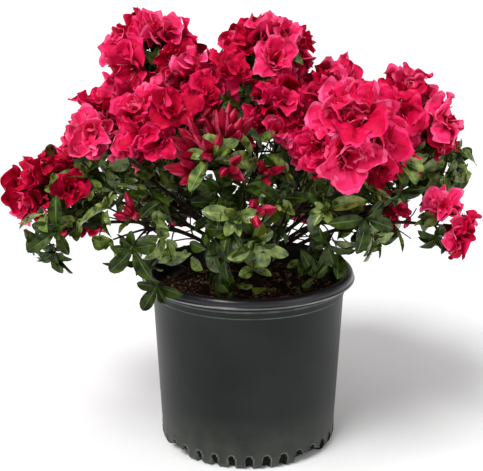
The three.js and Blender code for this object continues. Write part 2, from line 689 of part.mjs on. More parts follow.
// One spray: a stem that carries on its bough's line, and the twigs that leave it in turn. A tip that isn't
// free draws back towards the spray's middle, and is left out if that doesn't help.
function growSpray(own, all, limb, limbs, seed) {
  const random = seededRandom(seed);
  const others = limbs.filter((balls) => balls !== limb.stem);
  const cones = [];
  const isFree = (points) =>
    isClear(points, own, all, others) && !points.some((point) => cones.some((cone) => inCone(point, cone)));
  const stemTaper = (share) => limb.stemRadius + (STEM_TIP_RADIUS - limb.stemRadius) * share;
  const solids = [solidOf(taperedTube(limb.stemCurve, stemTaper, STEM_SIDES, limb.stemSteps))];
  const kinds = [
    ...Array(own.spray.blossoms).fill("blossom"),
    ...Array(own.spray.buds).fill("buds"),
    ...Array(own.spray.whorls).fill("whorl"),
  ];
  const inset = { blossom: BLOSSOM_DEPTH, buds: BUD_LENGTH, whorl: WHORL_INSET * LEAF_LENGTH };
  tipDirections(own, kinds.length, random).forEach((direction, k) => {
    const start = limb.stemCurve.getPoint(varied(1, FIRST_TWIG, LAST_TWIG - FIRST_TWIG, random));
    const spread = varied(own.size - inset[kinds[k]], 0.92, 0.16, random);
    const tipSeed = Math.floor(random() * 1e6);
    for (const pull of TIP_PULLS) {
      const tip = own.centre.clone().addScaledVector(direction, spread * pull);
      if (!isFree(lineSamples(start, [tip], TWIG_CHECKS))) continue;
      const axis = tip.clone().sub(start).normalize().add(direction).normalize();
      const forms = endedTwigs(kinds[k], start, tip, axis, isFree, cones, seededRandom(tipSeed));
      if (forms.length === 0) continue;
      solids.push(...forms.map(solidOf));
      return;
    }
  });
  return geometryFromSolid(joined(solids));
}

// ---- The plant ----

const plant = new THREE.Group();

function addNode(name, geometry, material) {
  const mesh = new THREE.Mesh(geometry, material);
  mesh.name = name;
  plant.add(mesh);
}

addNode("pot", makePot(), potPlastic);
addNode("potting_mix", makeSoil(), pottingMix);
addNode("trunk", makeTrunk(), bark);

const limbs = placeLimbs(SPRAYS, SHOOTS);
limbs
  .filter((limb) => limb.curve)
  .forEach(({ spray, curve }) => {
    addNode("bough_" + spray.name, taperedTube(curve, boughRadiusAt, BOUGH_SIDES, BOUGH_STEPS), bark);
  });

const trunkBalls = ballsAlong(trunkCurve, (share) => trunkRadiusAt(share) * TRUNK_ROOM, TRUNK_BALLS);
const obstacles = [trunkBalls, ...limbs.flatMap((limb) => [limb.bough, limb.stem])];
const spaces = limbs.map(({ spray }) => ({
  spray,
  size: spray.size,
  centre: polarPoint(spray.turn, spray.reach, spray.height),
}));

limbs.forEach((limb, index) => {
  const { name, blossoms } = limb.spray;
  const seed = SEED + SEED_STEP * [...SPRAYS, ...SHOOTS].indexOf(limb.spray);
  const geometry = growSpray(spaces[index], spaces, limb, obstacles, seed);
  addNode("spray_" + name, geometry, blossoms > 1 ? blossomSpray : leafSpray);
});

export default plant;
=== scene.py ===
"""The looks of a double-flowered azalea in its nursery pot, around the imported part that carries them.

The plant grows by the same seeded rule as in the part's source: the same limbs, sprays, twigs and tips.
Each tip is dressed with petals, leaves or buds, and finer twigs fill the same spaces.
"""

import math

import bpy
import numpy as np
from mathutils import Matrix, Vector


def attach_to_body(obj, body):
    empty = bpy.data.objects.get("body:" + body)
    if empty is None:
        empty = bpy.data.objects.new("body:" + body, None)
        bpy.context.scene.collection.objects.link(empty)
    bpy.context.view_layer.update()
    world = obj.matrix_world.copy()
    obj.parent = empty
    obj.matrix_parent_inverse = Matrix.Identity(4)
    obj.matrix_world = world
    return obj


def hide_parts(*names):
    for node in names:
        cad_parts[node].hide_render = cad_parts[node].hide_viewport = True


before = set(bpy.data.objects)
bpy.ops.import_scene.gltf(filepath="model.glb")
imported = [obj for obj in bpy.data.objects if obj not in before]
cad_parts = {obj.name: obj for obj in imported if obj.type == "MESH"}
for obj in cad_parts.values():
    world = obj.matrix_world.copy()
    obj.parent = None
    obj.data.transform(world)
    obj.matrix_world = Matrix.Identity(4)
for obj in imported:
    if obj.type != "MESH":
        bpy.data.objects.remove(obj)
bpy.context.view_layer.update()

MM = 0.001  # sizes below are in millimetres, and Blender's are in metres

# ---- Sizes that the part's source has too ----

GAP = 0.3
POT_HEIGHT = 194
RIM_RADIUS = 115
RIM_DROP = 10
BODY_TOP_RADIUS = 104
BODY_FOOT_RADIUS = 95.5
BASE_RADIUS = 90
BAND_HEIGHT = 24
BAND_STEP = 1.4
WALL = 2.2
FLOOR = 4.4
FOOT_ROUND = 12
DRAIN_TURNS = [43.5, -55.5, 124.5, -136.5]  # degrees round the pot
DRAIN_WIDTH = 42
DRAIN_HEIGHT = 11
DRAIN_DEPTH = 14
SOIL_EDGE_HEIGHT = 168
SOIL_MOUND = 6
SOIL_GAP = 0.8

TRUNK_FOOT = np.array([4.0, 2.0, SOIL_EDGE_HEIGHT + SOIL_MOUND + GAP])
TRUNK_HEIGHT = 62
TRUNK_LEAN = np.array([-3.0, 3.0, 0.0])
TRUNK_RADIUS = 10
TRUNK_TIP_RADIUS = 7.5
ROOT_FLARE = 9
ROOT_LOBES = 4
ROOT_LOBE_DEPTH = 0.16
FLARE_FADE = 9
TRUNK_ROUGHNESS = 1.05

BOUGH_RADIUS = 3.3
BOUGH_TIP_RADIUS = 2.3
BOUGH_RISE = 0.3
BOUGH_RUN = 0.34
BOUGH_LAUNCH = 0.4
HIGHEST_START = 0.97
LOWEST_START = 0.25
SHOOT_RADIUS = 2.4
SHOOT_STARTS = [0.16, 0.22, 0.28, 0.34]
SHOOT_ARCH = 4
LIMB_CLEARANCE = 0.8
BOUGH_BALLS = 70  # a limb is tested for room as this many balls along its line
STEM_BALLS = 16
SHOOT_BALLS = 40
TRUNK_BALLS = 40
TRUNK_ROOM = 1.2  # kept clear round the trunk, as a share of its radius
START_TURNS = [0, 14, -14, 28, -28, 42, -42, 56, -56]  # degrees
START_DROPS = [0, 8, -8, 16, -16, 24, -24]

STEM_TIP_RADIUS = 2
STEM_LENGTH = 0.8
FIRST_TWIG = 0.5
LAST_TWIG = 0.98
LEAVES_IN_WHORL = 5
LEAF_LEAN = 70  # degrees
LEAF_LENGTH = 37
LEAF_WIDTH = 14.5
LEAF_FOLD = 0.07
LEAF_DROOP = 0.1
BLOSSOM_RADIUS = 28.5
BLOSSOM_DEPTH = 25
BLOSSOM_SIZES = [1, 0.85, 0.7]
PETALS = 5
PETAL_NOTCH = 0.84
NOTCH_DEPTH = 0.85
BUD_LENGTH = 25
BUD_WIDTH = 8.5
BUD_LEAN = 24  # degrees
BUD_ROOM = 1.15  # kept clear for a bud, in bud lengths
BUDS_IN_GROUP = 3

SEED = 4021
SEED_STEP = 15013
TIP_PULLS = [1, 0.8, 0.6, 0.4]
CROWDING = 0.92
CELL_MARGIN = 0.5
LIMB_MARGIN = 1.2
CROWN_HEART = np.array([0.0, 0.0, 235.0])
UPWARD_PULL = 0.35
CAP_ANGLE = 122  # degrees
GOLDEN_TURN = math.pi * (3 - math.sqrt(5))
TWIG_CHECKS = [0.35, 0.5, 0.65, 0.8, 1]
LEAF_CHECKS = [0.5, 0.75, 1]
PETAL_CHECKS = [0.5, 1]

# Each spray: its name, its turn round the pot in degrees, its reach, height and size, and how many of its
# tips are blossoms, buds and whorls of leaves.
SPRAYS = [
    ("top_left", -96, 103, 412, 40, 7, 0, 1),
    ("top_right", 90, 15, 409, 40, 7, 0, 3),
    ("upper_middle", -30, 77, 379, 48, 6, 0, 3),
    ("upper_left", -80, 150, 332, 47, 6, 0, 2),
    ("front_left", -36, 132, 354, 46, 6, 1, 2),
    ("far_left", -76, 193, 284, 47, 6, 0, 2),
    ("front_middle", -11, 141, 338, 46, 0, 6, 6),
    ("middle_right", 16, 97, 357, 48, 6, 0, 3),
    ("upper_right", 87, 79, 370, 42, 5, 0, 1),
    ("front_right", 28, 168, 361, 41, 6, 0, 3),
    ("right", 83, 159, 351, 46, 6, 0, 2),
    ("right_shoulder", 63, 148, 318, 41, 3, 0, 4),
    ("far_right", 78, 202, 252, 28, 2, 0, 3),
    ("centre", 5, 124, 322, 40, 0, 2, 9),
    ("low_left", -67, 206, 257, 38, 0, 0, 6),
    ("low_front_left", -39, 164, 272, 48, 0, 1, 7),
    ("low_front", -1, 160, 292, 46, 0, 1, 9),
    ("low_front_right", 36, 156, 285, 46, 0, 0, 6),
    ("low_right", 98, 130, 246, 42, 2, 0, 3),
    ("back_left", -135, 148, 332, 52, 6, 0, 3),
    ("back_middle", 178, 152, 356, 54, 7, 0, 3),
    ("back_right", 133, 151, 320, 52, 6, 0, 3),
    ("top_back", 172, 78, 395, 48, 5, 0, 2),
    ("low_back_left", -149, 184, 257, 48, 3, 1, 5),
    ("low_back_right", 154, 183, 261, 48, 3, 1, 5),
    ("left_flank", -108, 198, 270, 46, 3, 0, 4),
    ("right_flank", 104, 205, 292, 44, 0, 1, 6),
]
SHOOTS = [
    ("shoot_left", -46, 120, 212, 36, 0, 0, 3),
    ("shoot_front", -8, 72, 207, 34, 0, 0, 4),
    ("shoot_right", 51, 80, 204, 32, 0, 0, 4),
]

# ---- Sizes that only the looks have ----

FINE_SEED = 700001  # added to a spray's seed for its finer twigs
DRESS_SEED = 15
SIDE_SEED = 23
FINE_BLOSSOMS = 1.8  # more blossoms for each one of the coarse tips
FINE_BLOSSOM_SIZES = [1.1, 0.96, 0.82]
FINE_CROWDING = 0.3
FINE_WHORLS = 1.1  # more whorls for each coarse one
LOW_WHORLS = 0.1  # and fewer in the low sprays, whose limbs show
LOW_HEIGHT = 290
BACK_WHORLS = 3.0  # and more in the sprays behind the trunk
FINE_WHORLS_PER_BLOSSOM = 0.8
FINE_BUDS = 1.0
FLATTEST_BUD = 0.2  # least rise of a fine bud's axis
FINE_CAP = 150  # degrees
REGIONS = ("top", "front_left", "front_right", "back_left", "back_right")
TOP_FROM = 385  # height of the sprays in the top region
FRONT_TO = -40  # and how far forward those at the front are
REGION_SPLIT = 10  # where left meets right, so that both have about as much blossom
UNDERLEAVES = 1  # leaves lower down on the twig of a whorl
HEART_LEAVES = 3  # smaller leaves inside a whorl
BLOSSOM_TILT = 34  # most degrees by which a blossom nods away from its twig's line
FINE_BLOSSOM_TILT = 52
LEAF_SLIMNESS = 0.92  # a real leaf's width, as a share of the part's, whose leaves are few
LEAF_SHORTNESS = 0.78

CAMERA_PLACE = np.array([-7.3, -1166.6, 554.5])
CAMERA_PITCH = -15.59  # degrees
CAMERA_LENS = 84.05
SENSOR_WIDTH = 36

# ---- Small tools ----

UP = np.array([0.0, 0.0, 1.0])


class Stream:
    """A seeded stream of numbers from 0 to 1, the same as the one in the part's source."""

    def __init__(self, seed):
        self.state = int(seed) & 0xFFFFFFFF

    def __call__(self):
        self.state = (self.state * 1664525 + 1013904223) & 0xFFFFFFFF
        return self.state / 4294967296


def varied(length, low, width, random):
    return length * (low + width * random())


def lean_of(degrees, random):
    """An angle in radians, from its least and its spread in degrees."""
    return math.radians(varied(1, *degrees, random))


def unit(v):
    return v / np.linalg.norm(v)


def polar_point(turn, reach, height):
    a = math.radians(turn)
    return np.array([reach * math.sin(a), -reach * math.cos(a), float(height)])


def frame_of(direction):
    """Two unit vectors square to a direction, the second one turned as far upwards as it goes."""
    helper = np.array([0.0, 1.0, 0.0]) if abs(direction[2]) > 0.98 else UP
    side = unit(np.cross(helper, direction))
    return side, unit(np.cross(direction, side))


def leaning(direction, angle, turn):
    """A direction that leans away from another by an angle, towards a turn round it."""
    side, rise = frame_of(direction)
    off = side * math.cos(turn) + rise * math.sin(turn)
    return unit(direction * math.cos(angle) + off * math.sin(angle))


def mix(a, b, share):
    return a + (b - a) * share


def smooth(x):
    x = np.clip(x, 0, 1)
    return x * x * (3 - 2 * x)


def bezier(start, bend, tip, share):
    """Points of a quadratic curve, at one share or at several."""
    t = np.asarray(share, float)[..., None]
    return (1 - t) ** 2 * start + 2 * t * (1 - t) * bend + t * t * tip


# ---- Growth: the limbs ----


class Spray:
    def __init__(self, row, seed):
        self.name, self.turn, self.reach, self.height, self.size, self.blossoms, self.buds, self.whorls = row
        self.centre = polar_point(self.turn, self.reach, self.height)
        self.behind = self.centre[1] > 0
        self.seed = seed

    def region(self):
        """The part of the crown whose pieces it joins."""
        if self.height > TOP_FROM:
            return "top"
        side = "left" if self.centre[0] < REGION_SPLIT else "right"
        return ("front_" if self.centre[1] < FRONT_TO else "back_") + side


class Limb:
    """A spray's way from the trunk: its bough, if it has one, and its stem, as curves of three points."""

    def __init__(self, spray, bough, stem, stem_radius):
        self.spray, self.bough, self.stem, self.stem_radius = spray, bough, stem, stem_radius
        self.bough_balls = balls_along(bough, bough_radius_at, BOUGH_BALLS) if bough else np.zeros((0, 4))
        self.stem_balls = balls_along(stem, lambda share: stem_radius, STEM_BALLS if bough else SHOOT_BALLS)
        self.balls = np.vstack([self.bough_balls, self.stem_balls])


def trunk_point(share):
    return TRUNK_FOOT + (TRUNK_LEAN + UP * TRUNK_HEIGHT) * share


def trunk_radius_at(share):
    flare = ROOT_FLARE * np.exp(-FLARE_FADE * share)
    return TRUNK_RADIUS + (TRUNK_TIP_RADIUS - TRUNK_RADIUS) * share + flare


def bough_radius_at(share):
    return BOUGH_RADIUS + (BOUGH_TIP_RADIUS - BOUGH_RADIUS) * share


def balls_along(line, radius_at, steps):
    """Balls along a line, one row each: the middle and the radius."""
    shares = np.arange(steps + 1) / steps
    radii = [radius_at(s) for s in shares]
    return np.column_stack([bezier(*line, shares), radii])


def trunk_side(share, turn, limb_radius):
    radius = trunk_radius_at(share) * TRUNK_ROUGHNESS + GAP + limb_radius * BOUGH_LAUNCH
    return trunk_point(share) + polar_point(turn, 1, 0) * radius


def bough_limb(spray, start_share, start_turn):
    start = trunk_side(start_share, start_turn, BOUGH_RADIUS)
    length = np.linalg.norm(start - spray.centre)
    bend = start + polar_point(start_turn, 1, 0) * length * BOUGH_RUN + UP * length * BOUGH_RISE
    tip = spray.centre - unit(spray.centre - bend) * spray.size
    aim = unit(tip - bezier(start, bend, tip, 0.9999))
    root = tip + aim * GAP
    end = root + aim * STEM_LENGTH * spray.size
    return Limb(spray, (start, bend, tip), (root, (root + end) / 2, end), BOUGH_TIP_RADIUS)


def shoot_limb(spray, start_share, start_turn):
    start = trunk_side(start_share, start_turn, SHOOT_RADIUS)
    bend = mix(start, spray.centre, 0.5)
    bend[2] = max(start[2], spray.centre[2]) + SHOOT_ARCH
    return Limb(spray, None, (start, bend, mix(start, spray.centre, 0.85)), SHOOT_RADIUS)


def first_clear(options, placed):
    """The first way from the trunk whose whole line is clear of the limbs before it."""
    others = np.vstack([np.zeros((0, 4)), *(limb.balls for limb in placed)])
    for limb in options:
        apart = np.linalg.norm(limb.balls[:, None, :3] - others[None, :, :3], axis=2)
        if (apart > limb.balls[:, None, 3] + others[None, :, 3] + LIMB_CLEARANCE).all():
            return limb
    raise RuntimeError("no clear way from the trunk")


def place_limbs(sprays, shoots):
    """Steep boughs leave the trunk high up and flat ones low down, so they are placed in that order."""
    steep_first = sorted(sprays, key=lambda spray: unit(spray.centre - trunk_point(0.5))[2], reverse=True)
    limbs = []
    for rank, spray in enumerate(steep_first):
        share = HIGHEST_START - (HIGHEST_START - LOWEST_START) * rank / (len(sprays) - 1)
        drops = [np.clip(share - drop / TRUNK_HEIGHT, LOWEST_START, HIGHEST_START) for drop in START_DROPS]
        options = (bough_limb(spray, start, spray.turn + turn) for start in drops for turn in START_TURNS)
        limbs.append(first_clear(options, limbs))
    for spray in shoots:
        options = (shoot_limb(spray, s, spray.turn + turn) for turn in START_TURNS for s in SHOOT_STARTS)
        limbs.append(first_clear(options, limbs))
    return limbs


# ---- Growth: the tips ----


class Room:
    """What a spray may fill: its own space, clear of the pot, of the limbs and of its own blossoms."""

    def __init__(self, limb, limbs):
        self.own = limb.spray
        others = [other.spray for other in limbs if other is not limb]
        self.centres = np.array([spray.centre for spray in others])
        self.sizes = np.array([float(spray.size) for spray in others])
        self.margins = 2 * CELL_MARGIN * np.linalg.norm(self.centres - self.own.centre, axis=1)
        trunk_line = [trunk_point(share) for share in (0, 0.5, 1)]
        trunk_balls = balls_along(trunk_line, lambda share: trunk_radius_at(share) * TRUNK_ROOM, TRUNK_BALLS)
        stems = [other.stem_balls for other in limbs if other is not limb]
        balls = np.vstack([trunk_balls, *(other.bough_balls for other in limbs), *stems])
        reach = self.own.size + 2 * LEAF_LENGTH
        self.balls = balls[np.linalg.norm(balls[:, :3] - self.own.centre, axis=1) < reach]
        self.cones = []

    def in_own_space(self, points):
        reach = ((points - self.own.centre) ** 2).sum(1) - self.own.size**2
        other = ((points[:, None] - self.centres[None]) ** 2).sum(2) - self.sizes**2
        return (other - reach[:, None] > self.margins).all()

    def clear_of_pot(self, points):
        radius = np.hypot(points[:, 0], points[:, 1])
        height = points[:, 2]
        inside = radius < BODY_TOP_RADIUS - 2 * WALL - LIMB_MARGIN
        above_soil = height > SOIL_EDGE_HEIGHT + SOIL_MOUND + LIMB_MARGIN
        above_pot = height > POT_HEIGHT + LIMB_MARGIN
        return (above_pot | np.where(inside, above_soil, radius > RIM_RADIUS + LIMB_MARGIN)).all()

    def clear_of_limbs(self, points):
        apart = np.linalg.norm(points[:, None] - self.balls[None, :, :3], axis=2)
        return (apart > self.balls[:, 3] + LIMB_MARGIN).all()

    def in_a_blossom(self, points, crowding):
        for tip, axis, radius, depth in self.cones:
            away = points - tip
            height = away @ axis
            across = np.sqrt(np.maximum(0, (away**2).sum(1) - height**2))
            if ((height >= 0) & (height <= depth) & (across < crowding * radius * height / depth)).any():
                return True
        return False

    def is_free(self, points, crowding=CROWDING):
        if not (self.in_own_space(points) and self.clear_of_pot(points) and self.clear_of_limbs(points)):
            return False
        return not self.in_a_blossom(points, crowding)


def line_samples(start, targets, shares):
    """Points along the straight lines from one point to others."""
    return np.array([mix(start, target, share) for target in targets for share in shares])


def tip_directions(own, count, cap, random):
    """The direction of each tip from the spray's middle, spread evenly over a cap that faces out and up."""
    outward = unit(unit(own.centre - CROWN_HEART) + UP * UPWARD_PULL)
    phase = random() * 2 * math.pi
    spread = 1 - math.cos(math.radians(cap))
    leans = [math.acos(1 - (k + 0.5) / count * spread) for k in range(count)]
    return [leaning(outward, lean, phase + k * GOLDEN_TURN) for k, lean in enumerate(leans)]


def petal_outline(tip, axis, radius, depth, phase):
    points = []
    step = 2 * math.pi / PETALS
    for k in range(PETALS):
        notch = leaning(axis, math.pi / 2, phase + (k - 0.5) * step)
        point = leaning(axis, math.pi / 2, phase + k * step)
        points.append(tip + notch * PETAL_NOTCH * radius + axis * NOTCH_DEPTH * depth)
        points.append(tip + point * radius + axis * depth)
    return points


def leaf_outline(foot, along, upper, length, width):
    side = unit(np.cross(along, upper))
    normal = unit(np.cross(side, along))
    halves = [side * s * width / 2 for s in (1, -1)]
    widest = [foot + along * 0.5 * length + half + normal * LEAF_FOLD * length for half in halves]
    return [*widest, foot + along * length - normal * LEAF_DROOP * length]


def blossom_tip(tip, axis, room, sizes, crowding, random):
    """A blossom takes the largest size that has room."""
    phase = 2 * math.pi * random()
    full_radius = varied(BLOSSOM_RADIUS, 0.9, 0.16, random)
    for share in sizes:
        radius, depth = full_radius * share, BLOSSOM_DEPTH * share
        petals = petal_outline(tip, axis, radius, depth, phase)
        if room.is_free(line_samples(tip, petals, PETAL_CHECKS), crowding):
            room.cones.append((tip, axis, radius, depth))
            return {"phase": phase, "radius": radius}
    return None


def bud_tip(tip, axis, room, random):
    phase = 2 * math.pi * random()
    if not room.is_free(line_samples(tip, [tip + axis * BUD_LENGTH * BUD_ROOM], PETAL_CHECKS)):
        return None
    return {"phase": phase, "lengths": [varied(BUD_LENGTH, 0.85, 0.3, random) for _ in range(BUDS_IN_GROUP)]}


def whorl_tip(tip, axis, room, random):
    """The leaves of a whorl that have room."""
    phase = 2 * math.pi * random()
    kept = []
    for k in range(LEAVES_IN_WHORL):
        turn = phase + k * 2 * math.pi / LEAVES_IN_WHORL
        along = leaning(axis, varied(math.radians(LEAF_LEAN), 0.86, 0.28, random), turn)
        length = varied(LEAF_LENGTH, 0.85, 0.3, random)
        width = varied(LEAF_WIDTH, 0.85, 0.3, random)
        if room.is_free(line_samples(tip, leaf_outline(tip, along, axis, length, width), LEAF_CHECKS)):
            kept.append((tip, along, axis, length, width))
    return {"phase": phase, "leaves": kept} if kept else None


INSETS = {"blossom": BLOSSOM_DEPTH, "buds": BUD_LENGTH, "whorl": 0.4 * LEAF_LENGTH}
# How the part's own tips and the finer ones differ: the least share and the spread of their place on the
# stem and of their distance, the share of the inset, the blossoms' sizes and how close tips may be.
COARSE = ((FIRST_TWIG, LAST_TWIG - FIRST_TWIG), (0.92, 0.16), 1, BLOSSOM_SIZES, CROWDING)
FINE = ((0.3, 0.68), (0.8, 0.28), 0.85, FINE_BLOSSOM_SIZES, FINE_CROWDING)


def grown_tips(limb, room, ways, rule, random):
    """A tip for each kind and direction, pulled in until it has room, or left out."""
    feet, distances, inset, sizes, crowding = rule
    tips = []
    for kind, direction in ways:
        start = bezier(*limb.stem, varied(1, *feet, random))
        spread = varied(limb.spray.size - INSETS[kind] * inset, *distances, random)
        tip_seed = math.floor(random() * 1e6)
        for pull in TIP_PULLS:
            tip = limb.spray.centre + direction * spread * pull
            if not room.is_free(line_samples(start, [tip], TWIG_CHECKS), crowding):
                continue
            axis = unit(unit(tip - start) + direction)
            if kind == "blossom":
                form = blossom_tip(tip, axis, room, sizes, crowding, Stream(tip_seed))
            elif kind == "whorl":
                form = whorl_tip(tip, axis, room, Stream(tip_seed))
            elif rule is FINE and axis[2] < FLATTEST_BUD:
                break
            else:
                form = bud_tip(tip, axis, room, Stream(tip_seed))
            if form:
                tips.append({**form, "kind": kind, "start": start, "tip": tip, "axis": axis})
                break
    return tips


def coarse_tips(limb, room):
    """The spray's tips, each the same as in the part's source."""
    own = limb.spray
    random = Stream(own.seed)
    kinds = ["blossom"] * own.blossoms + ["buds"] * own.buds + ["whorl"] * own.whorls
    ways = zip(kinds, tip_directions(own, len(kinds), CAP_ANGLE, random))
    return grown_tips(limb, room, ways, COARSE, random)


def fine_tips(limb, room):
    """More tips in the same space, on finer twigs: blossoms between the blossoms, then buds and whorls."""
    own = limb.spray
    random = Stream(own.seed + FINE_SEED)
    whorls = BACK_WHORLS if own.behind else LOW_WHORLS if own.height < LOW_HEIGHT else FINE_WHORLS
    kinds = (
        ("blossom", FINE_BLOSSOMS * max(own.blossoms - 1, 0), CAP_ANGLE),
        ("buds", FINE_BUDS * own.buds, FINE_CAP),
        ("whorl", whorls * own.whorls + FINE_WHORLS_PER_BLOSSOM * own.blossoms, FINE_CAP),
    )
    ways = ((kind, way) for kind, n, cap in kinds for way in tip_directions(own, round(n), cap, random))
    return grown_tips(limb, room, ways, FINE, random)


# ---- Meshes made of many small forms ----


class Forms:
    """Collects points and faces of four and of three corners, each face's material slot after its corners."""

    def __init__(self):
        self.points, self.quads, self.triangles = [], [], [np.zeros((0, 4), int)]
        self.count = 0

    def add(self, points, quads, slots, triangles=(), triangle_slot=0):
        """Slots is one for all the quads or one for each."""
        self.points.append(points)
        self.quads.append(np.column_stack([quads + self.count, np.broadcast_to(slots, len(quads))]))
        if len(triangles):
            corners = triangles + self.count
            self.triangles.append(np.column_stack([corners, np.full(len(triangles), triangle_slot)]))
        self.count += len(points)

    def add_tube(self, line, radii, sides, slot):
        points, quads, triangles = tube(line, radii, sides)
        self.add(points, quads, slot, triangles, slot)

    def piece(self, name, materials):
        """The smooth mesh object of it all."""
        quads, triangles = np.vstack(self.quads), np.vstack(self.triangles)
        faces = [*quads[:, :4].tolist(), *triangles[:, :3].tolist()]
        slots = np.concatenate([quads[:, 4], triangles[:, 3]])
        mesh = bpy.data.meshes.new(name)
        mesh.from_pydata(np.vstack(self.points) * MM, [], faces)
        mesh.polygons.foreach_set("material_index", slots.astype(np.int32))
        for material in materials:
            mesh.materials.append(material)
        mesh.shade_smooth()
        mesh.validate()
        return linked(name, mesh)


def linked(name, data):
    """A new object of the scene."""
    made = bpy.data.objects.new(name, data)
    bpy.context.scene.collection.objects.link(made)
    return made


def grid_faces(rows, columns, closed=False):
    """The four-sided faces of a grid of points, row by row. Closed joins the last column to the first."""
    across = columns if closed else columns - 1
    r, c = np.meshgrid(np.arange(rows - 1), np.arange(across), indexing="ij")
    a = (r * columns + c).ravel()
    b = (r * columns + (c + 1) % columns).ravel()
    return np.column_stack([a, b, b + columns, a + columns])


def circle(sides):
    """The angles of evenly spaced points round a circle."""
    return 2 * math.pi * np.arange(sides) / sides


def tube(points, radii, sides):
    """A tube through points, drawn to a point at both ends. Radii may be one a ring or one a point."""
    tangents = np.gradient(points, axis=0)
    tangents /= np.linalg.norm(tangents, axis=1)[:, None]
    side = frame_of(tangents[0])[0]
    turns = circle(sides)
    rings = []
    for centre, tangent, radius in zip(points, tangents, radii):
        side = unit(side - tangent * (side @ tangent))
        rise = np.cross(tangent, side)
        radius = np.broadcast_to(radius, sides)[:, None]
        rings.append(centre + radius * (np.outer(np.cos(turns), side) + np.outer(np.sin(turns), rise)))
    foot_end = points[0] - tangents[0] * np.mean(radii[0]) * 0.5
    top_end = points[-1] + tangents[-1] * np.mean(radii[-1]) * 0.5
    count = len(points) * sides
    k = np.arange(sides)
    after = (k + 1) % sides
    foot = np.column_stack([k, np.full(sides, count), after])
    top = np.column_stack([count - sides + k, count - sides + after, np.full(sides, count + 1)])
    points_of_all = np.vstack([*rings, foot_end, top_end])
    return points_of_all, grid_faces(len(points), sides, True), np.vstack([foot, top])


def placed(points, origin, axis, turn=0.0, scale=1.0):
    """Points of a template that stands on the origin along +Z, moved to a place and turned to an axis."""
    side, rise = frame_of(axis)
    x = side * math.cos(turn) + rise * math.sin(turn)
    y = rise * math.cos(turn) - side * math.sin(turn)
    return origin + scale * (points @ np.array([x, y, axis]))


# ---- Blossoms ----

PETAL_ROWS = 12
PETAL_COLUMNS = 11
INNER_ROWS = 9
INNER_COLUMNS = 6
# Each ring of a double blossom: its number of petals, their length, half width, lean at foot and tip in
# degrees and ruffle, and the ring's turn in petal steps.
PETAL_RINGS = {
    "open": [
        (5, 46, 16.5, 14, 84, 4.6, 0.0),
        (5, 41, 14, 11, 64, 4.8, 0.5),
        (5, 34, 10, 8, 44, 4.0, 0.2),
    ],
    "funnel": [
        (5, 43, 15, 18, 70, 4.6, 0.0),
        (4, 40, 14, 12, 48, 4.8, 0.5),
        (4, 35, 10, 8, 30, 4.0, 0.2),
    ],
    "ruffled": [
        (6, 46, 15, 12, 80, 5.4, 0.0),
        (5, 41, 13.5, 10, 60, 5.6, 0.45),
        (5, 35, 10, 8, 40, 4.6, 0.1),
    ],
    "reflexed": [
        (5, 47, 16.5, 14, 118, 4.8, 0.0),
        (5, 42, 14.5, 12, 82, 5.2, 0.5),
        (4, 35, 10, 8, 42, 4.4, 0.2),
    ],
}
PETAL_FOOT = 0.14  # half width at the foot, as a share of the widest
PETAL_TIP = 0.66  # and at the tip
WIDEST_AT = 0.7
BEND_FROM = 0.2  # share of a petal's length where it starts to lean out
BEND_TO = 0.86
TIP_ROUND = 0.2
TIP_NOTCH = 0.05
PETAL_CUP = 0.26
PETAL_GROOVE = 1.0
PETAL_PLEAT = 1.0
PLEATS = 2.6  # lengthwise folds across half a petal
PETAL_LEAN_SPREAD = 80  # degrees
PETAL_TWIST = 0.7  # most twist at the tip, in radians
PETAL_SWAY = 0.2
PETAL_MIDDLE = 0.55  # the frills run round this share of the length
FRILLS = 7
PETAL_ZONES = (0.3, 0.48, 0.76)  # how far the heart, the throat and the streak reach, as shares of the length; the dark of the heart and throat is partly the flower's own colour and partly painted shade
PETAL_RING_RADIUS = 1.5  # of the feet of the petals
STAMENS = 4
STAMEN_LENGTH = 31
STAMEN_LEAN = (6, 16)  # the least and the spread, in degrees, as for all leans in pairs
STAMEN_CURVE = 0.16
STAMEN_RADIUS = 0.28
TEMPLATES_EACH = 3
HEART, DEEP, MIDDLE, BRIGHT, PETAL_HIGHLIGHT, FILAMENT = range(6)
TINTS = 3  # bodies of a blossom: deep, middle and bright, dealt out by blossom


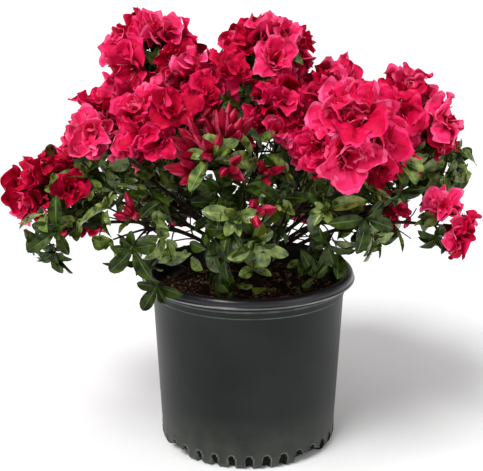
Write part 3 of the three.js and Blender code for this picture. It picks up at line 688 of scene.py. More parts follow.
def petal(length, half_width, foot_lean, tip_lean, ruffle, rows, columns, random):
    """A ruffled petal's points, row by row from its foot, as radius, across and height in its blossom."""
    fine = np.linspace(0, 1, 60)
    lean = np.radians(foot_lean + (tip_lean - foot_lean) * smooth((fine - BEND_FROM) / (BEND_TO - BEND_FROM)))
    out = np.concatenate([[0], np.cumsum(np.sin(lean[1:]))]) * length / 59
    up = np.concatenate([[0], np.cumsum(np.cos(lean[1:]))]) * length / 59
    v, u = np.meshgrid(np.linspace(0, 1, rows), np.linspace(-1, 1, columns), indexing="ij")
    phases = [2 * math.pi * random() for _ in range(4)]
    run = v * (1 - TIP_ROUND * u**2 * v**3) - TIP_NOTCH * np.exp(-((u / 0.25) ** 2)) * v**6
    widening = PETAL_FOOT + (1 - PETAL_FOOT) * smooth(v / WIDEST_AT)
    narrowing = 1 - (1 - PETAL_TIP) * smooth((v - WIDEST_AT) / (1 - WIDEST_AT))
    half = half_width * widening * narrowing
    rim = np.hypot(u, (v - PETAL_MIDDLE) / (1 - PETAL_MIDDLE))
    angle = np.arctan2(u * half_width, (v - PETAL_MIDDLE) * length)
    frills = np.sin(FRILLS * angle + phases[0]) + 0.6 * np.sin(0.6 * FRILLS * angle + phases[1])
    swell = np.sin(3.2 * u + phases[2]) * np.sin(2.4 * math.pi * v + phases[3])
    open_part = smooth((v - 0.22) / 0.4)
    cup = PETAL_CUP * (2.6 * random() - 0.8)
    twist = PETAL_TWIST * (2 * random() - 1) * v**1.5
    sway = PETAL_SWAY * (2 * random() - 1) * v**2 * length
    fold_phase = 0.8 * (random() - 0.5)
    pleats = PETAL_PLEAT * np.cos(PLEATS * math.pi * (u + fold_phase)) * np.sin(math.pi * np.clip(v, 0.1, 1))
    groove = PETAL_GROOVE * np.exp(-((u / 0.2) ** 2)) * np.sin(math.pi * v)
    raised = ruffle * open_part * (0.5 * np.clip(rim, 0, 1) ** 2.5 * frills + 0.6 * swell) + cup * u**2 * half
    raised = raised + pleats - groove + u * half * np.sin(twist)
    slope = np.interp(run, fine, lean)
    radius = np.interp(run, fine, out) - raised * np.cos(slope)
    height = np.interp(run, fine, up) + raised * np.sin(slope)
    return radius, u * half * np.cos(twist) + sway, height


def petal_slots(rows, columns, body):
    """The material of each face of a petal: dark at the foot, partly its own colour and partly painted shade,
    then its own colour with a painted highlight along the margin and the tip.
    """
    slots = np.full((rows - 1, columns - 1), body)
    heart, throat, streak = (round(share * rows) for share in PETAL_ZONES)
    darker, highlight = max(DEEP, body - 1), min(PETAL_HIGHLIGHT, body + 1)
    # Painted highlight: the margins take the next lighter tone.
    slots[throat:, [0, -1]] = highlight
    slots[throat:streak, (columns - 1) // 2] = darker
    # The throat and the heart are darker: partly the flower's own colour, partly painted shade.
    slots[heart:throat] = darker
    slots[:heart] = HEART
    # Painted highlight along the tip row too.
    slots[-1] = highlight
    return slots.ravel()


def blossom_template(rings, random):
    """A double blossom that stands on its foot along +Z, with its faces' materials for each tint."""
    forms = Forms()
    slots = [[] for _ in range(TINTS)]
    for number, (count, length, half_width, foot_lean, tip_lean, ruffle, turn) in enumerate(rings):
        rows, columns = (PETAL_ROWS, PETAL_COLUMNS) if number < 2 else (INNER_ROWS, INNER_COLUMNS)
        for k in range(count):
            petal_turn = 2 * math.pi * (k + turn + 0.24 * (random() - 0.5)) / count
            sizes = varied(length, 0.86, 0.24, random), varied(half_width, 0.85, 0.3, random)
            leans = foot_lean, tip_lean + PETAL_LEAN_SPREAD * (random() - 0.5)
            radius, across, height = petal(*sizes, *leans, ruffle, rows, columns, random)
            radius = radius + PETAL_RING_RADIUS
            c, s = math.cos(petal_turn), math.sin(petal_turn)
            points = np.stack([radius * c - across * s, radius * s + across * c, height], axis=-1)
            forms.add(points.reshape(-1, 3), grid_faces(rows, columns), 0)
            for tint in range(TINTS):
                slots[tint].append(petal_slots(rows, columns, DEEP + tint))
    for k in range(STAMENS):
        lean = lean_of(STAMEN_LEAN, random)
        turn = 2 * math.pi * (k + random() * 0.6) / STAMENS
        length = varied(STAMEN_LENGTH, 0.85, 0.3, random)
        shares = np.linspace(0, 1, 5)
        out = length * (math.sin(lean) * shares + STAMEN_CURVE * shares**2)
        line = np.column_stack([out * math.cos(turn), out * math.sin(turn), length * math.cos(lean) * shares])
        forms.add_tube(line, [STAMEN_RADIUS] * 4 + [STAMEN_RADIUS * 2], 3, FILAMENT)
    quads, triangles = np.vstack(forms.quads), np.vstack(forms.triangles)
    stamen_slots = quads[quads[:, 4] == FILAMENT, 4]
    slots = [np.concatenate([*petals, stamen_slots]) for petals in slots]
    return np.vstack(forms.points), quads[:, :4], slots, triangles[:, :3]


def add_blossom(forms, tip, template, tint, tilt, random):
    points, quads, slots, triangles = template
    axis = leaning(tip["axis"], math.radians(tilt * random()), 2 * math.pi * random())
    shape = placed(points, tip["tip"], axis, tip["phase"], tip["radius"] / BLOSSOM_RADIUS)
    forms.add(shape, quads, slots[tint], triangles, FILAMENT)


# ---- Buds ----

BUD_SIDES = 8
BUD_ROWS = 9
BUD_TWIST = 1.1
BUD_RIDGES = 0.24
BUD_STRETCH = 1.4  # a real bud's length, as a share of the part's
CRIMSON, CRIMSON_TIP, RIDGE_HIGHLIGHT, GREEN_FOOT = range(4)


def bud_template():
    """A pointed bud of rolled petals, one unit long and wide, on its green foot."""
    shares = np.linspace(0, 1, BUD_ROWS)
    girth = 0.5 * np.sin(math.pi * np.clip(shares, 0.03, 0.985) ** 1.15) ** 0.8
    turns = circle(BUD_SIDES)
    twisted = turns[None, :] + BUD_TWIST * shares[:, None]
    ring = girth[:, None] * (1 + BUD_RIDGES * np.cos(4 * turns)[None, :])
    height = np.broadcast_to(shares[:, None], ring.shape)
    points = np.stack([ring * np.cos(twisted), ring * np.sin(twisted), height], -1)
    slots = np.array([[GREEN_FOOT] + [CRIMSON] * 3 + [CRIMSON_TIP] * 4] * BUD_SIDES).T
    # Pale painted highlight lines along two of the bud's ridges.
    slots[1:, ::4] = RIDGE_HIGHLIGHT
    return points.reshape(-1, 3), grid_faces(BUD_ROWS, BUD_SIDES, True), slots.ravel()


# ---- Leaves ----

LEAF_SHARES = np.array([0, 0.1, 0.26, 0.45, 0.64, 0.8, 0.93, 1])
LEAF_GIRTHS = np.array([0.1, 0.36, 0.76, 0.97, 1, 0.82, 0.48, 0.06])
LEAF_ACROSS = np.array([-1, -0.5, -0.07, 0.07, 0.5, 1])
LEAF_LIFT = 0.5  # how far the sides of a blade rise, as a share of its half width
LEAF_WAVE = 0.05
LEAF_GROOVE = 0.004
LEAF_STALK = 0.07
HEART_LEAF_LEAN = (24, 22)
HEART_LEAF_SIZE = 0.55
UNDERLEAF_LEAN = (78, 24)
UNDERLEAF_DROP = (3, 7)  # least and spread of how far below the tip it grows
UNDERLEAF_SIZE = 0.85
LEAF_WANDER = 26  # most degrees by which a leaf turns away from its place in the whorl
LEAF_DARK, LEAF_GREEN, LEAF_YOUNG, LEAF_DARK_RIB, LEAF_RIB, LEAF_YOUNG_RIB = range(6)
YOUNG_SHARE = 0.03  # of the leaves
LIGHT_SHARE = 0.5  # and the young and the light green ones together
RIBS = {LEAF_DARK: LEAF_DARK_RIB, LEAF_GREEN: LEAF_RIB, LEAF_YOUNG: LEAF_YOUNG_RIB}


def leaf_template(droop, wave_phase):
    """An elliptic leaf one unit long, folded along its midrib: across, along, lift and hang of its points."""
    s = np.repeat(LEAF_SHARES[:, None], len(LEAF_ACROSS), 1)
    x = LEAF_ACROSS[None, :] * 0.5 * LEAF_GIRTHS[:, None]
    lift = LEAF_LIFT * np.abs(x) + LEAF_WAVE * np.sin(9 * s + wave_phase + 2 * np.sign(x)) * np.abs(x) * 2
    groove = np.where(np.abs(LEAF_ACROSS)[None, :] < 0.1, -LEAF_GROOVE, 0)
    return x, s, lift + groove, -droop * s**2


LEAF_BENDS = ((0.12, 0.3), (0.26, 2.1), (0.48, 4.0), (0.04, 5.2))  # droop, and phase of the waves
LEAF_TEMPLATES = [leaf_template(droop, phase) for droop, phase in LEAF_BENDS]


def add_leaf(forms, foot, along, upper, length, width, body, random):
    size = varied(1, 0.62, 0.6, random)
    length, width = size * length * LEAF_SHORTNESS, size * width * LEAF_SLIMNESS
    along = leaning(along, math.radians(LEAF_WANDER * random()), 2 * math.pi * random())
    side = unit(np.cross(along, upper))
    normal = unit(np.cross(side, along))
    x, run, lift, hang = (part[..., None] for part in LEAF_TEMPLATES[int(random() * len(LEAF_TEMPLATES))])
    foot = foot + along * LEAF_STALK * length
    points = foot + run * along * length * (1 - LEAF_STALK) + x * width * side
    points = points + (lift * width + hang * length) * normal
    rows, columns = points.shape[:2]
    slots = np.full((rows - 1, columns - 1), body)
    slots[:, 2] = RIBS[body]
    forms.add(points.reshape(-1, 3), grid_faces(rows, columns), slots.ravel())


# ---- Materials ----

TONE_STOPS = (0.35, 0.65)  # where the noise has reached the dark tone and the light one

# Each surface: its name, its dark and its light tone, their scale, its roughness, the strength and scale of
# its relief, its gloss and, where it isn't 4, the detail of its noise.
PETAL_SURFACES = [
    # The next material is the dark heart, partly the flower's own colour and partly painted shade.
    ("petal_heart", (96, 1, 13), (138, 2, 26), 90, 0.6, 0.3, 420, 0.07),
    ("petal_deep", (164, 3, 38), (192, 6, 54), 90, 0.55, 0.3, 420, 0.07),
    ("petal_middle", (194, 8, 58), (216, 18, 78), 90, 0.5, 0.3, 420, 0.07),
    ("petal_bright", (216, 22, 80), (240, 54, 116), 90, 0.5, 0.3, 420, 0.07),
    # The next material is the palest tone, a painted highlight on the margins of bright blossoms.
    ("petal_highlight", (234, 58, 112), (252, 104, 152), 90, 0.45, 0.3, 420, 0.07),
    ("filament", (206, 70, 96), (226, 120, 124), 90, 0.5, 0.3, 420, 0.07),
]
BUD_SURFACES = [
    ("bud_crimson", (92, 1, 16), (134, 4, 34), 120, 0.5, 0.2, 500, 0.12),
    ("bud_tip", (116, 2, 26), (160, 6, 46), 120, 0.5, 0.2, 500, 0.12),
    # The next material is a pale painted highlight on the bud's ridges.
    ("bud_ridge_highlight", (176, 26, 66), (214, 74, 108), 120, 0.5, 0.2, 500, 0.15),
    ("bud_foot", (70, 84, 24), (104, 104, 40), 120, 0.6, 0.2, 500, 0.25),
]
LEAF_SURFACES = [
    # The light tones of leaf_dark and leaf_green are partly vein mottling and partly painted gloss
    # highlights.
    ("leaf_dark", (11, 25, 1), (56, 76, 14), 130, 0.32, 0.5, 300, 0.17),
    ("leaf_green", (32, 56, 6), (134, 152, 72), 130, 0.22, 0.5, 300, 0.52),
    ("leaf_young", (88, 104, 24), (124, 138, 46), 60, 0.34, 0.4, 300, 0.35),
    ("leaf_dark_rib", (58, 72, 28), (96, 112, 56), 80, 0.4, 0.1, 300, 0.3),
    ("leaf_rib", (84, 108, 44), (124, 146, 78), 80, 0.4, 0.1, 300, 0.3),
    ("leaf_young_rib", (140, 150, 66), (172, 178, 96), 80, 0.45, 0.1, 300, 0.3),
]
WOOD_SURFACES = [
    ("bark", (22, 16, 11), (52, 40, 29), 160, 0.85, 0.8, 700, 0.15, 8),
    ("green_twig", (56, 52, 22), (88, 80, 38), 160, 0.7, 0.4, 600, 0.2),
]
POT_SURFACES = [
    ("plastic", (10, 15, 14), (25, 30, 28), 11, 0.42, 0.12, 260, 0.24, 8),
    ("rim_plastic", (19, 18, 22), (29, 28, 33), 18, 0.3, 0.1, 240, 0.45, 6),
    # The next material is a pale painted highlight on the flute ridges and on the band's lines.
    ("highlight_plastic", (56, 61, 58), (96, 101, 95), 60, 0.5, 0.2, 300, 0.3, 6),
    # The next material is a pale painted highlight line on the rim's lower lip.
    ("rim_highlight", (100, 98, 102), (138, 136, 140), 40, 0.35, 0.1, 240, 0.45, 6),
    # The next material is painted shade for the recesses of the flutes.
    ("recess_shade", (5, 7, 7), (14, 16, 16), 30, 0.6, 0.1, 260, 0.12, 6),
]
SOIL_SURFACES = [
    ("humus", (18, 10, 7), (44, 26, 18), 180, 0.95, 1, 900, 0.2, 8),
    ("chip_dark", (34, 18, 12), (56, 32, 22), 200, 0.9, 0.8, 900, 0.25, 6),
    ("chip_red", (78, 38, 22), (110, 60, 36), 200, 0.85, 0.8, 900, 0.25, 6),
    ("chip_pale", (126, 92, 62), (156, 122, 88), 200, 0.85, 0.8, 900, 0.25, 6),
]
STUDIO_FLOOR = ("studio_floor", (244, 244, 244), (248, 248, 248), 3, 0.9, 0, 10, 0.1)


def linear(colour):
    """A colour in sRGB numbers from 0 to 255 as the linear one that a shader takes."""
    shares = np.array(colour) / 255
    low = shares / 12.92
    high = ((shares + 0.055) / 1.055) ** 2.4
    return (*np.where(shares <= 0.04045, low, high), 1.0)


def set_inputs(tree, node, **inputs):
    """Sets a node's inputs to values, or joins them to other nodes' outputs."""
    for name, value in inputs.items():
        socket = node.inputs[name.replace("_", " ")]
        if isinstance(value, bpy.types.NodeSocket):
            tree.links.new(value, socket)
        else:
            socket.default_value = value


def add_node(tree, kind, **inputs):
    node = tree.nodes.new("ShaderNode" + kind)
    set_inputs(tree, node, **inputs)
    return node


def surface(name, dark, light, scale, roughness, bump, bump_scale, gloss, detail=4):
    """A material whose colour wanders between two tones and whose surface has fine relief, both by noise."""
    material = bpy.data.materials.new(name)
    material.use_nodes = True
    tree = material.node_tree
    place = add_node(tree, "TexCoord").outputs["Object"]
    tone = add_node(tree, "TexNoise", Vector=place, Scale=scale, Detail=detail).outputs["Fac"]
    ramp = add_node(tree, "ValToRGB", Fac=tone)
    for stop, position, colour in zip(ramp.color_ramp.elements, TONE_STOPS, (dark, light)):
        stop.position, stop.color = position, linear(colour)
    grain = add_node(tree, "TexNoise", Vector=place, Scale=bump_scale, Detail=detail).outputs["Fac"]
    normal = add_node(tree, "Bump", Strength=bump, Distance=MM, Height=grain).outputs["Normal"]
    shader = tree.nodes["Principled BSDF"]
    set_inputs(tree, shader, Base_Color=ramp.outputs["Color"], Normal=normal)
    set_inputs(tree, shader, Roughness=roughness, Specular_IOR_Level=gloss)
    return material


def surfaces(rows):
    return [surface(*row) for row in rows]


# ---- The pot ----

POT_SIDES = 384
FLUTES = 32
FLUTE_DEPTH = 4.6
FLUTE_SHARE = 0.25  # half width of a flute, as a share of the step between two
FLUTE_TOP = 16.5
FLUTE_FOOT = 0.8
RECESS_SHADE_FROM = 2.2  # faces that a flute pulls in at least this far are painted dark as shade in its recess
HIGHLIGHT_FROM = -0.25  # faces that the ridge pushes out at least this far get a pale painted highlight
FLUTE_RIDGE = 0.9  # of the raised edge round a flute
RIM_LIP = 1.2
RIM_EDGE_SHAPE = [(1, 0), (0.2, 0.3), (0, 1), (0.2, 1.9), (1.2, 2.6)]  # inset from the rim's radius, and rise
UNDERSIDE_RISE = 1.2
CORNER_RADIUS = 7.5
FLUTE_TOP_RINGS = (13.2, 14.4, 15.4, 16.2, 17)  # heights
FOOT_PALENESS = 0.8  # share of the pale tone at the very foot, before its clouds thin it
PALENESS_TOP = 60
PALENESS_SCALE = 55
FOOT_PALE_COLOUR = (84, 88, 78)
BEAD_HEIGHT = 178  # of a fine raised line round the band
BEAD = 0.6
BEAD_SET = 0.5  # how far the wall is set back on both sides of the bead
PLASTIC, RIM_PLASTIC, HIGHLIGHT_PLASTIC, RIM_HIGHLIGHT, RECESS_SHADE = range(5)


def body_radius_at(height):
    share = (height - FOOT_ROUND) / (POT_HEIGHT - RIM_DROP - FOOT_ROUND)
    return BODY_FOOT_RADIUS + (BODY_TOP_RADIUS - BODY_FOOT_RADIUS) * share


def pot_profile():
    """The shell's outline, from the middle of its underside over the rim to the middle of its floor."""
    band_foot, skirt = POT_HEIGHT - BAND_HEIGHT, POT_HEIGHT - RIM_DROP
    band_foot_radius, band_radius = body_radius_at(band_foot) + BAND_STEP, BODY_TOP_RADIUS + BAND_STEP
    inner_top = band_radius - WALL
    edge_inset, edge_rise = RIM_EDGE_SHAPE[-1]
    roll_radius = (RIM_RADIUS - edge_inset - inner_top) / 2
    underside = [(0, UNDERSIDE_RISE), (BASE_RADIUS * 0.5, UNDERSIDE_RISE), (BASE_RADIUS - 12, UNDERSIDE_RISE)]
    ring = [(BASE_RADIUS - 10, 0), (BASE_RADIUS - 2, 0)]
    corner = [
        (min(BASE_RADIUS - 2 + CORNER_RADIUS * math.sin(a), BODY_FOOT_RADIUS), FOOT_ROUND * (1 - math.cos(a)))
        for a in np.radians(np.linspace(10, 90, 13))
    ]
    wall = [(body_radius_at(z), z) for z in (*FLUTE_TOP_RINGS, *np.linspace(24, band_foot - 1, 12))]
    band = [
        (body_radius_at(band_foot) + 0.1, band_foot),
        (band_foot_radius, band_foot + BAND_STEP),
        (band_foot_radius, band_foot + 2 * BAND_STEP),
        (band_radius - BEAD_SET, BEAD_HEIGHT - 1),
        (band_radius - BEAD_SET + BEAD, BEAD_HEIGHT),
        (band_radius - BEAD_SET, BEAD_HEIGHT + 1),
        (band_radius, skirt + WALL),
    ]
    rim = [(RIM_RADIUS - WALL - RIM_LIP, skirt + WALL), (RIM_RADIUS - WALL, skirt + 0.4)]
    rim += [(RIM_RADIUS - inset, skirt + rise) for inset, rise in RIM_EDGE_SHAPE]
    roll = [
        (inner_top + roll_radius * (1 + math.cos(a)), skirt + mix(edge_rise, RIM_DROP, math.sin(a) ** 0.75))
        for a in np.radians(np.linspace(4, 176, 21))
    ]
    inside = [(inner_top - 0.4, skirt), (inner_top - 1.6, band_foot)]
    inside += [(body_radius_at(z) - WALL, z) for z in np.linspace(band_foot - 3, FOOT_ROUND * 1.5, 6)]
    inside += [(BASE_RADIUS - WALL * 3, FLOOR), (0, FLOOR)]
    return underside + ring + corner + wall + band + rim + roll + inside


def fluted(radius, height, turns):
    """How far the flutes in the foot pull a ring of the outside in, at each of its turns."""
    rise = np.clip((height - FLUTE_FOOT) / (FLUTE_TOP - FLUTE_FOOT), 0, 1)
    if height >= FLUTE_TOP or radius < BASE_RADIUS - 3:
        return np.zeros_like(turns)
    step = 2 * math.pi / FLUTES
    off = np.abs((turns + step / 2) % step - step / 2) / step
    width = FLUTE_SHARE * math.sqrt(max(0, 1 - rise**3))
    ridge = FLUTE_RIDGE * np.exp(-(((off - width) / 0.06) ** 2))
    return FLUTE_DEPTH * smooth((width - off) / 0.09) * smooth((1 - rise) / 0.2) - ridge


def plastic_at(radius, height):
    """The material of the ring of faces above a point of the profile."""
    skirt = POT_HEIGHT - RIM_DROP
    band_foot = POT_HEIGHT - BAND_HEIGHT
    # A thin painted highlight along the rim's lower lip.
    if radius > RIM_RADIUS - 1 and skirt + 0.2 < height < skirt + 1.5:
        return RIM_HIGHLIGHT
    # Painted highlight lines along the band's step and along its bead.
    if band_foot - 0.5 < height < band_foot + BAND_STEP or BEAD_HEIGHT - 1.5 < height < BEAD_HEIGHT + 0.5:
        return HIGHLIGHT_PLASTIC
    return RIM_PLASTIC if height > skirt - 0.5 else PLASTIC


def make_pot():
    profile = pot_profile()
    turns = circle(POT_SIDES)
    points, slots = [], []
    top_ring = np.argmax([height for radius, height in profile])
    for number, (radius, height) in enumerate(profile):
        ring = np.full(POT_SIDES, float(max(radius, 0.05)))
        slots.append(np.full(POT_SIDES, plastic_at(radius, height)))
        if number < top_ring:
            pulled_in = fluted(radius, height, turns)
            ring = ring - pulled_in
            # Pale painted highlight on the flute ridges.
            slots[-1][pulled_in < HIGHLIGHT_FROM] = HIGHLIGHT_PLASTIC
            # Painted shade deep in the flutes.
            slots[-1][pulled_in > RECESS_SHADE_FROM] = RECESS_SHADE
        heights = np.full(POT_SIDES, height)
        points.append(np.column_stack([ring * np.sin(turns), -ring * np.cos(turns), heights]))
    forms = Forms()
    forms.add(np.vstack(points), grid_faces(len(profile), POT_SIDES, True), np.concatenate(slots[:-1]))
    plastic, *others = surfaces(POT_SURFACES)
    pot = forms.piece("pot_shell", [paler_at_foot(plastic), *others])
    cut_notches(pot)
    return pot


def cut_notches(pot):
    """Cuts the four drain notches right through the corner of the foot."""
    for turn in DRAIN_TURNS:
        bpy.ops.mesh.primitive_cylinder_add(vertices=48, radius=1, depth=2)
        cutter = bpy.context.object
        cutter.scale = (DRAIN_WIDTH / 2 * MM, DRAIN_HEIGHT * MM, DRAIN_DEPTH * MM)
        cutter.location = polar_point(turn, BODY_FOOT_RADIUS, 0) * MM
        cutter.rotation_euler = (math.radians(90), 0, math.radians(turn))
        cut = pot.modifiers.new("notch", "BOOLEAN")
        cut.operation, cut.solver, cut.object = "DIFFERENCE", "EXACT", cutter
        bpy.context.view_layer.objects.active = pot
        bpy.ops.object.modifier_apply(modifier=cut.name)
        bpy.data.objects.remove(cutter)


def paler_at_foot(material):
    """Adds a pale tone, in clouds that thin out upwards from the foot, to a material."""
    tree = material.node_tree
    shader = tree.nodes["Principled BSDF"]
    place = add_node(tree, "TexCoord").outputs["Object"]
    height = add_node(tree, "SeparateXYZ", Vector=place).outputs["Z"]
    fade = add_node(tree, "MapRange", Value=height, From_Max=PALENESS_TOP * MM, To_Min=FOOT_PALENESS, To_Max=0)
    clouds = add_node(tree, "TexNoise", Vector=place, Scale=PALENESS_SCALE, Detail=8)
    share = add_node(tree, "Math")
    share.operation = "MULTIPLY"
    tree.links.new(fade.outputs["Result"], share.inputs[0])
    tree.links.new(clouds.outputs["Fac"], share.inputs[1])
    tint = add_node(tree, "Mix")
    tint.data_type = "RGBA"
    own_colour = shader.inputs["Base Color"].links[0].from_socket
    set_inputs(tree, tint, Factor=share.outputs["Value"], A=own_colour, B=linear(FOOT_PALE_COLOUR))
    set_inputs(tree, shader, Base_Color=tint.outputs["Result"])
    return material


# ---- The potting mix ----

SOIL_RINGS = 70
SOIL_SIDES = 150
SOIL_ROUGHNESS = 2.2
SOIL_SKIRT = 20
CHIPS = 1500
CHIP_SEED = 5
CHIP_INSET = 3
CHIP_LENGTH = 2.5  # of the shortest, and then how much longer the longest is
CHIP_MORE_LENGTH = 9
CHIP_WIDTH = 1.3
CHIP_MORE_WIDTH = 3
CHIP_SLIMNESS = 0.7  # most width of a chip, as a share of its length
CHIP_THICKNESS = (0.6, 1.1)  # the least and the spread
CHIP_LEAN = (62, 40)
CUBE_FACES = np.array([[0, 1, 3, 2], [4, 6, 7, 5], [0, 4, 5, 1], [2, 3, 7, 6], [0, 2, 6, 4], [1, 5, 7, 3]])


def soil_height(x, y):
    """The mix's lumpy surface."""
    radius = np.hypot(x, y)
    edge = BODY_TOP_RADIUS - WALL - SOIL_GAP
    base = SOIL_EDGE_HEIGHT + SOIL_MOUND * smooth((edge - radius) / (edge / 2))
    lumps = np.sin(0.21 * x + 1.3 * np.sin(0.13 * y)) * np.sin(0.19 * y + 1.1 * np.sin(0.17 * x + 2))
    crumbs = np.sin(0.83 * x + 2 * np.sin(0.61 * y)) * np.sin(0.77 * y + 2 * np.sin(0.71 * x + 1))
    return base + SOIL_ROUGHNESS * (0.6 * lumps + 0.5 * crumbs)


def make_soil():
    edge = BODY_TOP_RADIUS - WALL - SOIL_GAP
    r, t = np.meshgrid(edge * np.linspace(0.002, 1, SOIL_RINGS), circle(SOIL_SIDES), indexing="ij")
    x, y = r * np.cos(t), r * np.sin(t)
    top = np.stack([x, y, soil_height(x, y)], -1).reshape(-1, 3)
    skirt = top[-SOIL_SIDES:] - UP * SOIL_SKIRT
    forms = Forms()
    forms.add(np.vstack([top, skirt]), grid_faces(SOIL_RINGS + 1, SOIL_SIDES, True), 0)
    random = Stream(SEED + CHIP_SEED)
    for _ in range(CHIPS):
        radius = (edge - CHIP_INSET) * math.sqrt(random())
        add_chip(forms, radius, 2 * math.pi * random(), random)
    return forms.piece("bark_mix", surfaces(SOIL_SURFACES))


def add_chip(forms, radius, turn, random):
    """A splinter of bark that lies on the mix, tilted a little."""
    x, y = radius * math.cos(turn), radius * math.sin(turn)
    length = CHIP_LENGTH + CHIP_MORE_LENGTH * random() ** 2.5
    width = min(length * CHIP_SLIMNESS, CHIP_WIDTH + CHIP_MORE_WIDTH * random() ** 2)
    thick = varied(1, *CHIP_THICKNESS, random)
    corners = np.array([[a, b, c] for a in (-1, 1) for b in (-1, 1) for c in (-1, 1)], float)
    corners *= 0.75 + 0.5 * np.array([random() for _ in range(24)]).reshape(8, 3)
    shape = corners * np.array([width, thick, length]) / 2
    along = leaning(UP, lean_of(CHIP_LEAN, random), 2 * math.pi * random())
    middle = np.array([x, y, float(soil_height(x, y)) + thick * 0.4])
    slot = 1 + int(3 * random() ** 1.4)
    forms.add(placed(shape, middle, along, 6 * random()), CUBE_FACES, slot)


# ---- The wood ----

TRUNK_SIDES = 56
TRUNK_STEPS = 60
BOUGH_SIDES = 12
BOUGH_STEPS = 44
TRUNK_RELIEF = 0.09
BOUGH_RELIEF = 0.1
TRUNK_CROWN = 1.06  # height of the trunk's domed end, as a share
BOUGH_SINK = 0.6  # how far a bough's root is sunk towards the trunk's middle
TWIG_RADIUS = 1.25
FINE_TWIG_RADIUS = 0.85
TWIG_BEND = 0.3
TWIG_POINTS = 6
STEM_POINTS = 12
STEM_END = 0.8  # thickness of a stem's end, as a share of the part's
LIMB_SLIMNESS = 0.74  # and of the whole limb
SIDE_TWIGS = 7  # to a bough
SIDE_TWIG_LEAVES = 3
LEAFY_TWIGS = 0.35  # share of the side twigs that have leaves
BACK_SIDE_TWIGS = 14  # the boughs behind the trunk are leafier
BACK_LEAFY_TWIGS = 0.95
SIDE_TWIG_LENGTH = 52
SIDE_TWIG_LEAN = (20, 35)
SIDE_LEAF_LEAN = (35, 45)
SIDE_TWIG_ROOM = 20  # kept clear past a side twig's end
SIDE_LEAF_STEP = 3  # between its leaves
BARK, GREEN = range(2)


def bark_relief(turns, run, seed):
    """Ridges and scars along a limb, as shares of its radius, from waves with seeded phases."""
    random = Stream(seed)
    phases = [2 * math.pi * random() for _ in range(5)]
    ridges = np.sin(5 * turns + 2.5 * np.sin(run * 0.12 + phases[0]) + phases[1])
    scars = np.sin(run * 0.9 + 2 * np.sin(2 * turns + phases[2]) + phases[3])
    knots = np.sin(run * 0.33 + phases[4]) * np.sin(3 * turns + run * 0.2)
    return 0.5 * ridges + 0.3 * scars + 0.4 * knots


def add_trunk(forms):
    """The trunk with its root flare and lobes."""
    turns = circle(TRUNK_SIDES)
    rings = []
    for share in np.linspace(0, 1, TRUNK_STEPS + 1):
        lobes = ROOT_LOBE_DEPTH * math.exp(-FLARE_FADE * share) * np.cos(ROOT_LOBES * turns)
        relief = TRUNK_RELIEF * bark_relief(turns, share * TRUNK_HEIGHT, SEED)
        radius = trunk_radius_at(share) * (1 + lobes + relief)
        ring = np.column_stack([radius * np.cos(turns), radius * np.sin(turns), np.zeros(TRUNK_SIDES)])
        rings.append(trunk_point(share) + ring)
    k = np.arange(TRUNK_SIDES)
    last = TRUNK_STEPS * TRUNK_SIDES
    cap = np.column_stack([last + k, last + (k + 1) % TRUNK_SIDES, np.full(TRUNK_SIDES, last + TRUNK_SIDES)])
    points = np.vstack([*rings, trunk_point(TRUNK_CROWN)])
    forms.add(points, grid_faces(TRUNK_STEPS + 1, TRUNK_SIDES, True), BARK, cap, BARK)


def add_bough(forms, number, bough):
    """A bough with bark relief, from inside the trunk to its tip."""
    start, bend, tip = bough
    root = mix(start, trunk_point((start[2] - TRUNK_FOOT[2]) / TRUNK_HEIGHT), BOUGH_SINK)
    line = np.vstack([root, bezier(start, bend, tip, np.linspace(0, 1, BOUGH_STEPS + 1))])
    run = np.concatenate([[0], np.cumsum(np.linalg.norm(np.diff(line, axis=0), axis=1))])
    radii = [
        LIMB_SLIMNESS
        * bough_radius_at(max(0, (i - 1) / BOUGH_STEPS))
        * (1 + BOUGH_RELIEF * bark_relief(circle(BOUGH_SIDES), run[i], number))
        for i in range(len(line))
    ]
    forms.add_tube(line, radii, BOUGH_SIDES, BARK)


def make_limbs(limbs, materials):
    forms = Forms()
    add_trunk(forms)
    for number, bough in enumerate(limb.bough for limb in limbs if limb.bough):
        add_bough(forms, number, bough)
    return forms.piece("limbs", materials)


def add_twig(twigs, start, tip, heading, radius, slot):
    """A twig that leaves its stem along the stem's line and bends round to its tip."""
    bend = start + heading * np.linalg.norm(tip - start) * TWIG_BEND
    line = bezier(start, bend, tip, np.linspace(0, 1, TWIG_POINTS))
    twigs.add_tube(line, radius * np.linspace(1.15, 0.75, TWIG_POINTS), 5, slot)


# ---- The dressed plant ----


